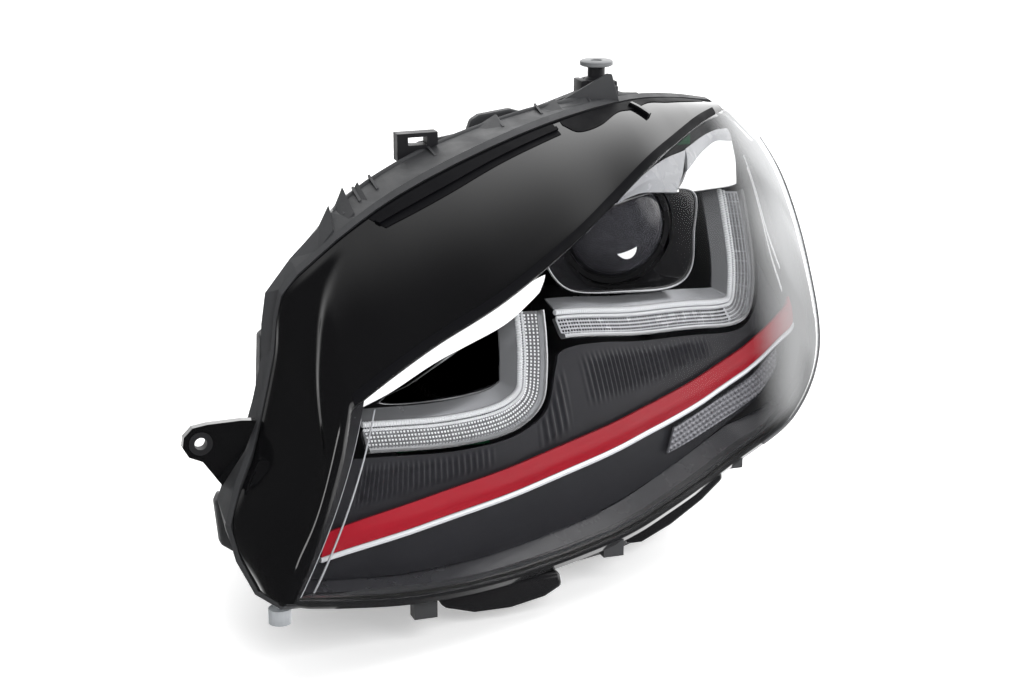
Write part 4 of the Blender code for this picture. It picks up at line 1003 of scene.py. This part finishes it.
def build_side_panel():
    """Grey panel that wraps the fender end, with two bright edges."""
    low = ((8.1, .24), (8.7, .22), (9.3, .24), (9.9, .31))
    high = ((8.2, .38), (8.85, .43), (9.45, .48), (10.0, .56))
    band("side_panel", low, high, 16.0, 18.0, 60, 20, "bezel", crowned(0.8),
         ("outer_side_panel",))
    edge = np.array(((8.02, .25), (8.24, .37), (8.75, .46), (9.4, .56)))
    for k, shift in enumerate((0.0, 0.30)):
        line = edge + np.array((shift, 0.02 * k))
        band(f"side_streak_{k + 1}", line, line + np.array((0.035, 0.004)), 13.0, 14.0, 60, 2,
             "white")


SKIRT_FRONT = 3.3
SKIRT_PARTS = (("skirt_lip", 0.0, 0.42, "rim"), ("skirt", 0.42, 1.0, "skirt"))
EDGE_BARS = (("edge_bar_1", 0.17, 0.37, 4.0), ("edge_bar_2", 0.50, 0.82, 11))


def build_lens_edges():
    """What shows through the lens round its rim: the dark skirt, and two bars at the inner end."""
    u = np.concatenate([spaced(0.0, 8.0, 120), spaced(8.0, LENS_END_U, 40)[1:]])
    deep_end = np.interp(u, (0, 8, 9.5, 11), (23.0, 22.0, 11.0, 6.0))[:, None]
    high_end = np.interp(u, (0, 2, 6.2, 7.2, 11), (0.062, 0.055, 0.075, 0.03, 0.02))[:, None]
    for name, start, stop, look in SKIRT_PARTS:
        f = spaced(start, stop, 8)[None, :]
        v = 0.003 + (high_end - 0.003) * f
        depth = SKIRT_FRONT + (deep_end - SKIRT_FRONT) * f
        front = behind(u[:, None] + 0 * f, v, depth)
        back = behind(u[:, None] + 0 * f, v, depth + 1.2)
        new_piece(name, *wall(front, back), look)
    band("edge_mask", ((0.0, .0), (0.17, .0)), ((0.02, .99), (0.40, .99)), SKIRT_FRONT, 4.6, 6,
         60, "rim")
    for name, foot, head, depth in EDGE_BARS:
        low = ((foot, .02), (foot + 0.035, .02))
        high = ((head, .90), (head + 0.035, .90))
        band(name, low, high, depth, depth + 0.8, 2, 60, "bar")


# ==================== mount and housing
MOUNT = (311.0, 281.0)  # (x, y) of the sleeve's axis
# Upper edge of the housing behind the border, with the same steps as the border's rear edge.
HOUSING_TOP = np.array([
    (-13, 84, 36), (-22, 108, 76), (-2, 122, 108), (18, 140, 160), (26, 158, 200),
    (68, 178, 236), (92, 198, 250), (122, 212, 264), (168, 232, 278), (228, 252, 290),
    (272, 262, 296), (314, 275, 297), (344, 291, 293), (370, 306, 288), (392, 318, 282),
    (408, 324, 277), (420, 327, 270), (428, 329, 264)], float)
# Outlines in (x, z).
FIN_OUTLINE = ((258, 282), (262, 288.5), (306, 310.5), (314, 314.5), (318, 314), (324, 293),
               (318, 284))
HUMP_OUTLINE = ((204, 279), (207, 287), (213, 290.5), (237, 293.5), (250, 289.5), (264, 291),
                (264, 280))
# Flat ribs and boxes that stand out of the housing: outline, and two depths.
HOUSING_PLATES = (
    ("housing_peak_1", ((84, 222), (87, 229), (100, 250), (105, 253), (111, 249), (116, 236)),
     206, 216),
    ("housing_peak_2", ((108, 236), (113, 247), (121, 255), (126, 253), (134, 246), (132, 234)),
     212, 224),
    ("housing_box_1", ((16, 112), (19, 173), (23, 176), (30, 172), (32, 165), (26, 112)),
     146, 158),
    ("housing_box_2", ((-19, 40), (-22, 70), (-19, 76), (-14, 74), (-7, 55), (-8, 32)), 114, 124),
    ("housing_fin_1", ((150, 262), (154, 276), (160, 279), (196, 284), (200, 270)), 238, 242),
    ("housing_fin_2", ((60, 200), (64, 214), (70, 222), (84, 232), (90, 226), (72, 200)),
     190, 196))
# Wedges moulded on the housing's upper face: start and stop along it, shares across, height.
WEDGES = ((4.95, 5.5, 0.40, 1.0, 5.5), (5.6, 6.1, 0.35, 1.05, 7.0), (6.2, 6.5, 0.45, 1.0, 4.0),
          (7.2, 7.45, 0.30, 0.8, 2.5), (8.5, 8.9, 0.55, 1.0, 4.0), (9.6, 10.0, 0.5, 1.0, 3.0),
          (10.2, 10.6, 0.45, 0.95, 3.0))
OVER = np.array([-0.25, 0.2, 1.0])  # roughly square to the housing's upper face
RIB_PLACES = (5.9, 6.35, 6.8, 7.9, 8.9, 9.6, 10.6)


def plate(name, outline, y0, y1, look, bevel=0.6):
    """Flat plate from an (x, z) outline between two depths, with softened edges."""
    piece = rings_piece(name, [[(x, y, z) for x, z in outline] for y in (y0, y1)], look)
    edge = piece.modifiers.new("soft edges", "BEVEL")
    edge.width = bevel * MM
    edge.segments = 2


def build_mount():
    """Grey sleeve with its disc, and the black collar and fin that carry it."""
    at, up = (*MOUNT, 0.0), (0, 0, 1)
    disc = [(2.6, 318.6), (11.2, 318.6), (12.3, 319.2), (12.5, 320.6), (12.3, 322.0),
            (11.4, 322.5), (4.6, 322.5), (3.8, 321.6), (2.6, 321.4)]
    sleeve = lathe("mount_disc", disc, at, up, "sleeve", "upper_mount_sleeve", 64)
    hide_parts("upper_mount_sleeve")
    stem = [(2.6, 296), (5.25, 296), (5.25, 304.4), (8.6, 304.4), (9.0, 304.9), (9.0, 308.4),
            (8.4, 309.2), (6.9, 310.0), (6.5, 310.6), (6.5, 318.5), (2.6, 318.5)]
    lathe("mount_stem", stem, at, up, "black", "upper_mount_sleeve", 64)
    collar = [(9.7, 304.3), (12.2, 304.3), (12.2, 308.0), (11.6, 308.8), (9.7, 308.8)]
    lathe("mount_collar", collar, at, up, "black", LAMP, 64)
    x, y = MOUNT
    block("mount_block", (x - 15, y - 9, 296), (x - 10, y + 9, 309), "black", bevel=1.2)
    block("mount_rib", (x + 10, y - 6, 296), (x + 15, y + 8, 307), "black", bevel=1.2)
    plate("mount_fin", FIN_OUTLINE, y - 15.2, y - 12.4, "housing")
    plate("housing_hump", HUMP_OUTLINE, 262, 270, "housing", 1.5)


def build_wedges():
    """Low wedges on the housing's upper face, highest at their far corner."""
    lift = unit(OVER)
    faces = [[0, 3, 2, 1], [0, 1, 4], [3, 5, 2], [0, 4, 5, 3], [1, 2, 5, 4]]
    for k, (start, stop, near, far, height) in enumerate(WEDGES):
        corners = []
        for spot, share in ((start, near), (stop, near), (stop, far), (start, far)):
            foot = between(spline(BORDER_REAR, spot), spline(HOUSING_TOP, spot), share)
            corners.append(foot - lift)
        ridge = [corners[1] + lift * (height * 0.5 + 1), corners[2] + lift * (height + 1)]
        new_piece(f"housing_wedge_{k + 1}", corners + ridge, faces, "housing", sharp=20)


def build_ridges():
    """Two rounded ridges along the housing's upper face."""
    s = spaced(5.6, 12.2, 160)
    rear, top = spline(BORDER_REAR, s), spline(HOUSING_TOP, s)
    across = unit(top - rear)
    for name, share, size in (("housing_ridge", 0.62, 1.3), ("housing_edge", 0.96, 1.8)):
        line = between(rear, top, share)
        rings = [line + across * math.cos(a) * size + unit(OVER) * math.sin(a) * size
                 for a in bead_angles()]
        rings_piece(name, np.array(rings).transpose(1, 0, 2), "housing")


def build_ribs():
    """Short ribs across the housing's upper edge."""
    lift = OVER * 2.6
    for k, spot in enumerate(RIB_PLACES):
        start, stop = spline(BORDER_REAR, spot), spline(HOUSING_TOP, spot)
        along = unit(spline(BORDER_REAR, spot + 0.1) - start)
        foot, head = between(start, stop, 0.55), stop + unit(stop - start)
        corners = [foot - along, head - along, head + along, foot + along]
        rings = [[c - lift for c in corners], [c + lift for c in corners]]
        rings_piece(f"housing_rib_{k + 1}", rings, "housing")


def build_housing_details():
    """Ribs, plates and ridges on the part of the housing that shows over the border."""
    build_wedges()
    for name, outline, near, far in HOUSING_PLATES:
        plate(name, outline, near, far, "housing", 1.2)
    build_ridges()
    build_ribs()


# ==================== projector
GLASS_FRONT, GLASS_RISE, GLASS_RADIUS = 196.0, 16.0, 37.4


def build_painted_glint():
    """Painted highlight: a small white crescent low on the projector lens, standing in for a
    reflection on the glass.
    """
    f = spaced(0.0, 1.0, 24)
    turn = np.radians(-100 + 52 * f)[:, None]
    swell = np.sin(math.pi * f)
    radius = np.stack([17.5 - 1.2 * swell, 17.7 + 6.5 * swell * (0.55 + 0.45 * f)], -1)
    y = GLASS_FRONT + GLASS_RISE * (1 - np.sqrt(1 - (radius / GLASS_RADIUS) ** 2))
    x, z = AXIS[0] + radius * np.cos(turn), AXIS[2] + radius * np.sin(turn)
    front, back = (np.stack([x, y + offset, z], -1) for offset in (-0.25, 0.6))
    # The white trim here is a painted highlight on the glass, not a part of the lamp.
    new_piece("painted_lens_glint", *wall(front, back), "white", "projector")


def build_projector():
    """Glass and bezel ring of the projector, which ride on it."""
    at, back = (AXIS[0], 0, AXIS[2]), (0, 1, 0)
    dome = [(GLASS_RADIUS * math.sin(turn), GLASS_FRONT + GLASS_RISE * (1 - math.cos(turn)))
            for turn in spaced(0.0, 1.0, 24) * math.pi / 2]
    glass = lathe("projector_glass", dome + [(GLASS_RADIUS, 214.5), (0, 214.5)], at, back,
                  "glass", "projector", 128)
    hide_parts("projector_lens")
    # Painted highlight low on the glass.
    build_painted_glint()
    ring = [(38.2, 211.2), (38.8, 210.5), (42.3, 210.5), (43.2, 211.2), (43.5, 212.2),
            (43.5, 214.0), (42.9, 214.5), (42.9, 215.6), (43.5, 216.1), (43.5, 219.6),
            (43.1, 220.0), (38.2, 220.0)]
    piece = lathe("projector_bezel_ring", ring, at, back, "ring", "projector", 128)
    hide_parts("projector_lens_ring")


# ==================== stage
TARGET = Vector((-0.0290, -0.0922, 0.1945))
VIEW_AZIMUTH, VIEW_ELEVATION = math.radians(-19.0), math.radians(16.5)
VIEW_DISTANCE = 1.58
FOCAL_MM, SENSOR_MM = 82.72, 36.0
FLOOR_HALF = 60.0


def build_camera():
    """Camera in front, towards the grille end and a little above."""
    camera = bpy.data.cameras.new("Camera")
    camera.lens = FOCAL_MM
    camera.sensor_width = SENSOR_MM
    holder = bpy.data.objects.new("Camera", camera)
    bpy.context.collection.objects.link(holder)
    back = Vector((math.sin(VIEW_AZIMUTH) * math.cos(VIEW_ELEVATION),
                   -math.cos(VIEW_AZIMUTH) * math.cos(VIEW_ELEVATION),
                   math.sin(VIEW_ELEVATION)))
    holder.location = TARGET + back * VIEW_DISTANCE
    holder.rotation_euler = back.to_track_quat("Z", "Y").to_euler()
    bpy.context.scene.camera = holder


def build_floor():
    """Wide white studio floor."""
    mesh = bpy.data.meshes.new("floor")
    corners = [(x * FLOOR_HALF, y * FLOOR_HALF, 0)
               for x, y in ((-1, -1), (1, -1), (1, 1), (-1, 1))]
    mesh.from_pydata(corners, [], [(0, 1, 2, 3)])
    floor = bpy.data.objects.new("floor", mesh)
    bpy.context.collection.objects.link(floor)
    paper = finish("Studio paper", None, (0.93, 0.93, 0.93), 0.9, grain=(400, 0.05, 0.2),
                   Emission_Color=(1, 1, 1, 1), Emission_Strength=0.42)
    mesh.materials.append(paper)
    floor.visible_glossy = False


def lamp(name, kind, energy, spot, aim, size=(1.0, 1.0), in_gloss=True):
    """Lamp at a spot, aimed at a point."""
    light = bpy.data.lights.new(name, kind)
    light.energy = energy
    if kind == "AREA":
        light.shape = "RECTANGLE"
        light.size, light.size_y = size
    holder = bpy.data.objects.new(name, light)
    bpy.context.collection.objects.link(holder)
    holder.location = spot
    direction = Vector(aim) - Vector(spot)
    holder.rotation_euler = direction.to_track_quat("-Z", "Y").to_euler()
    holder.visible_glossy = in_gloss
    return light


# Bright sides of the studio: direction, where the brightness starts and ends as a cosine, and
# its low and high strength.  The first is the lit backdrop behind the object; the second is a
# soft panel to the right, which the fender end of the lens mirrors.
SKY = ((unit(np.array([0.5, 0.75, 0.2])), 0.20, 0.88, 0.05, 2.2),
       (unit(np.array([0.87, -0.34, 0.20])), 0.86, 0.97, 0.0, 1.2))


def glow(nodes, links, way, direction, start, stop, low, high):
    """Socket that ramps from low to high as a view ray turns towards a direction."""
    toward = nodes.new("ShaderNodeVectorMath")
    toward.operation = "DOT_PRODUCT"
    toward.inputs[1].default_value = direction.tolist()
    ramp = nodes.new("ShaderNodeMapRange")
    ramp.interpolation_type = "SMOOTHSTEP"
    set_range(ramp, start, stop, low, high)
    links.new(way.outputs["Generated"], toward.inputs[0])
    links.new(toward.outputs["Value"], ramp.inputs["Value"])
    return ramp.outputs["Result"]


def build_world():
    """A studio that is dim in front and bright behind, with a plain white backdrop."""
    world = bpy.data.worlds.new("Studio")
    bpy.context.scene.world = world
    world.use_nodes = True
    nodes, links = world.node_tree.nodes, world.node_tree.links
    way = nodes.new("ShaderNodeTexCoord")
    total = nodes.new("ShaderNodeMath")
    total.operation = "ADD"
    for side, socket in zip(SKY, total.inputs):
        links.new(glow(nodes, links, way, *side), socket)
    seen = nodes.new("ShaderNodeLightPath")
    plain = nodes.new("ShaderNodeMix")
    links.new(seen.outputs["Is Camera Ray"], plain.inputs["Factor"])
    links.new(total.outputs[0], plain.inputs["A"])
    plain.inputs["B"].default_value = 1.0
    links.new(plain.outputs["Result"], nodes["Background"].inputs["Strength"])
    nodes["Background"].inputs["Color"].default_value = (1, 1, 1, 1)


def build_lights():
    """World, ceiling light, a strip to the left and a fill from the front."""
    build_world()
    sun = lamp("Ceiling", "SUN", 1.7, (0.5, 0.6, 2.0), (0, 0, 0), in_gloss=False)
    sun.angle = math.radians(75)
    lamp("Left strip", "AREA", 2.5, (-1.3, -0.7, 1.1), (0, 0, 0.15), (0.25, 0.9))
    lamp("Front fill", "AREA", 34.0, (0.2, -1.9, 1.3), (0, 0, 0.1), (1.4, 0.9), in_gloss=False)
    bpy.context.scene.view_settings.view_transform = "Standard"


def main():
    """Make the visible pieces, dress the frame's own nodes and set the stage."""
    build_camera()
    build_lens()
    build_border()
    build_bezel()
    build_strips()
    build_daytime_light("inner", SMALL_U, "field_grey",
                        (("_dots", "dots", 0.0, 1.0, 0.30),))
    build_daytime_light("outer", LARGE_U, "field_white",
                        (("_dark_studs", "recess", 0.0, 0.60, 0.34),
                         ("_sparkle", "chrome", 0.60, 1.0, 0.44)))
    build_shroud()
    build_inner_bowl()
    build_turn_reflectors()
    build_side_marker()
    build_side_panel()
    build_lens_edges()
    build_border_trim()
    build_mount()
    build_housing_details()
    build_projector()
    dress_cad_nodes()
    build_floor()
    build_lights()


CAD_LOOKS = {
    "housing": ("housing", "rear_housing"),
    "rubber": ("lens_seal", "low_beam_cover_seal", "high_beam_cover_seal", "breather_cap"),
    "bezel": ("bezel", "outer_side_panel"),
    "red": ("red_trim_strip",),
    "chrome": ("chrome_trim_strip", "inner_daytime_reflector", "outer_daytime_reflector",
               "projector_reflector"),
    "guide": ("inner_light_guide", "outer_light_guide", "side_marker_reflector"),
    "shroud": ("projector_shroud",),
    "dark_chrome": ("inner_reflector",),
    "bulb": ("high_beam_bulb", "xenon_bulb"),
    "white": ("inner_turn_reflector", "outer_turn_reflector"),
    "glass": ("projector_lens",),
    "cast": ("projector_lens_ring", "shutter_carrier", "igniter",
             "ballast", "inner_led_heatsink", "outer_led_heatsink"),
    "steel": ("shutter_flap", "shutter_solenoid", "ballast_screw_1", "ballast_screw_2",
              "ballast_screw_3", "ballast_screw_4"),
    "black": ("high_beam_bulb_holder", "projector_barrel", "bracket_bush", "aim_frame",
              "levelling_rod", "levelling_motor", "swivel_motor", "vertical_aim_screw",
              "horizontal_aim_screw", "low_beam_cover", "high_beam_cover", "ballast_plug",
              "wiring_socket", "retaining_clip"),
    "brass": ("socket_terminals",),
    "board": ("inner_led_board", "outer_led_board", "turn_led_board"),
    "border": ("inner_bracket",),
    "sleeve": ("upper_mount_sleeve",),
    "frosted": ("alignment_pin",),
}


def dress_cad_nodes():
    """Every frame node that shows gets its finished material."""
    for look, names in CAD_LOOKS.items():
        for name in names:
            dress(NODES[name], look)


main()
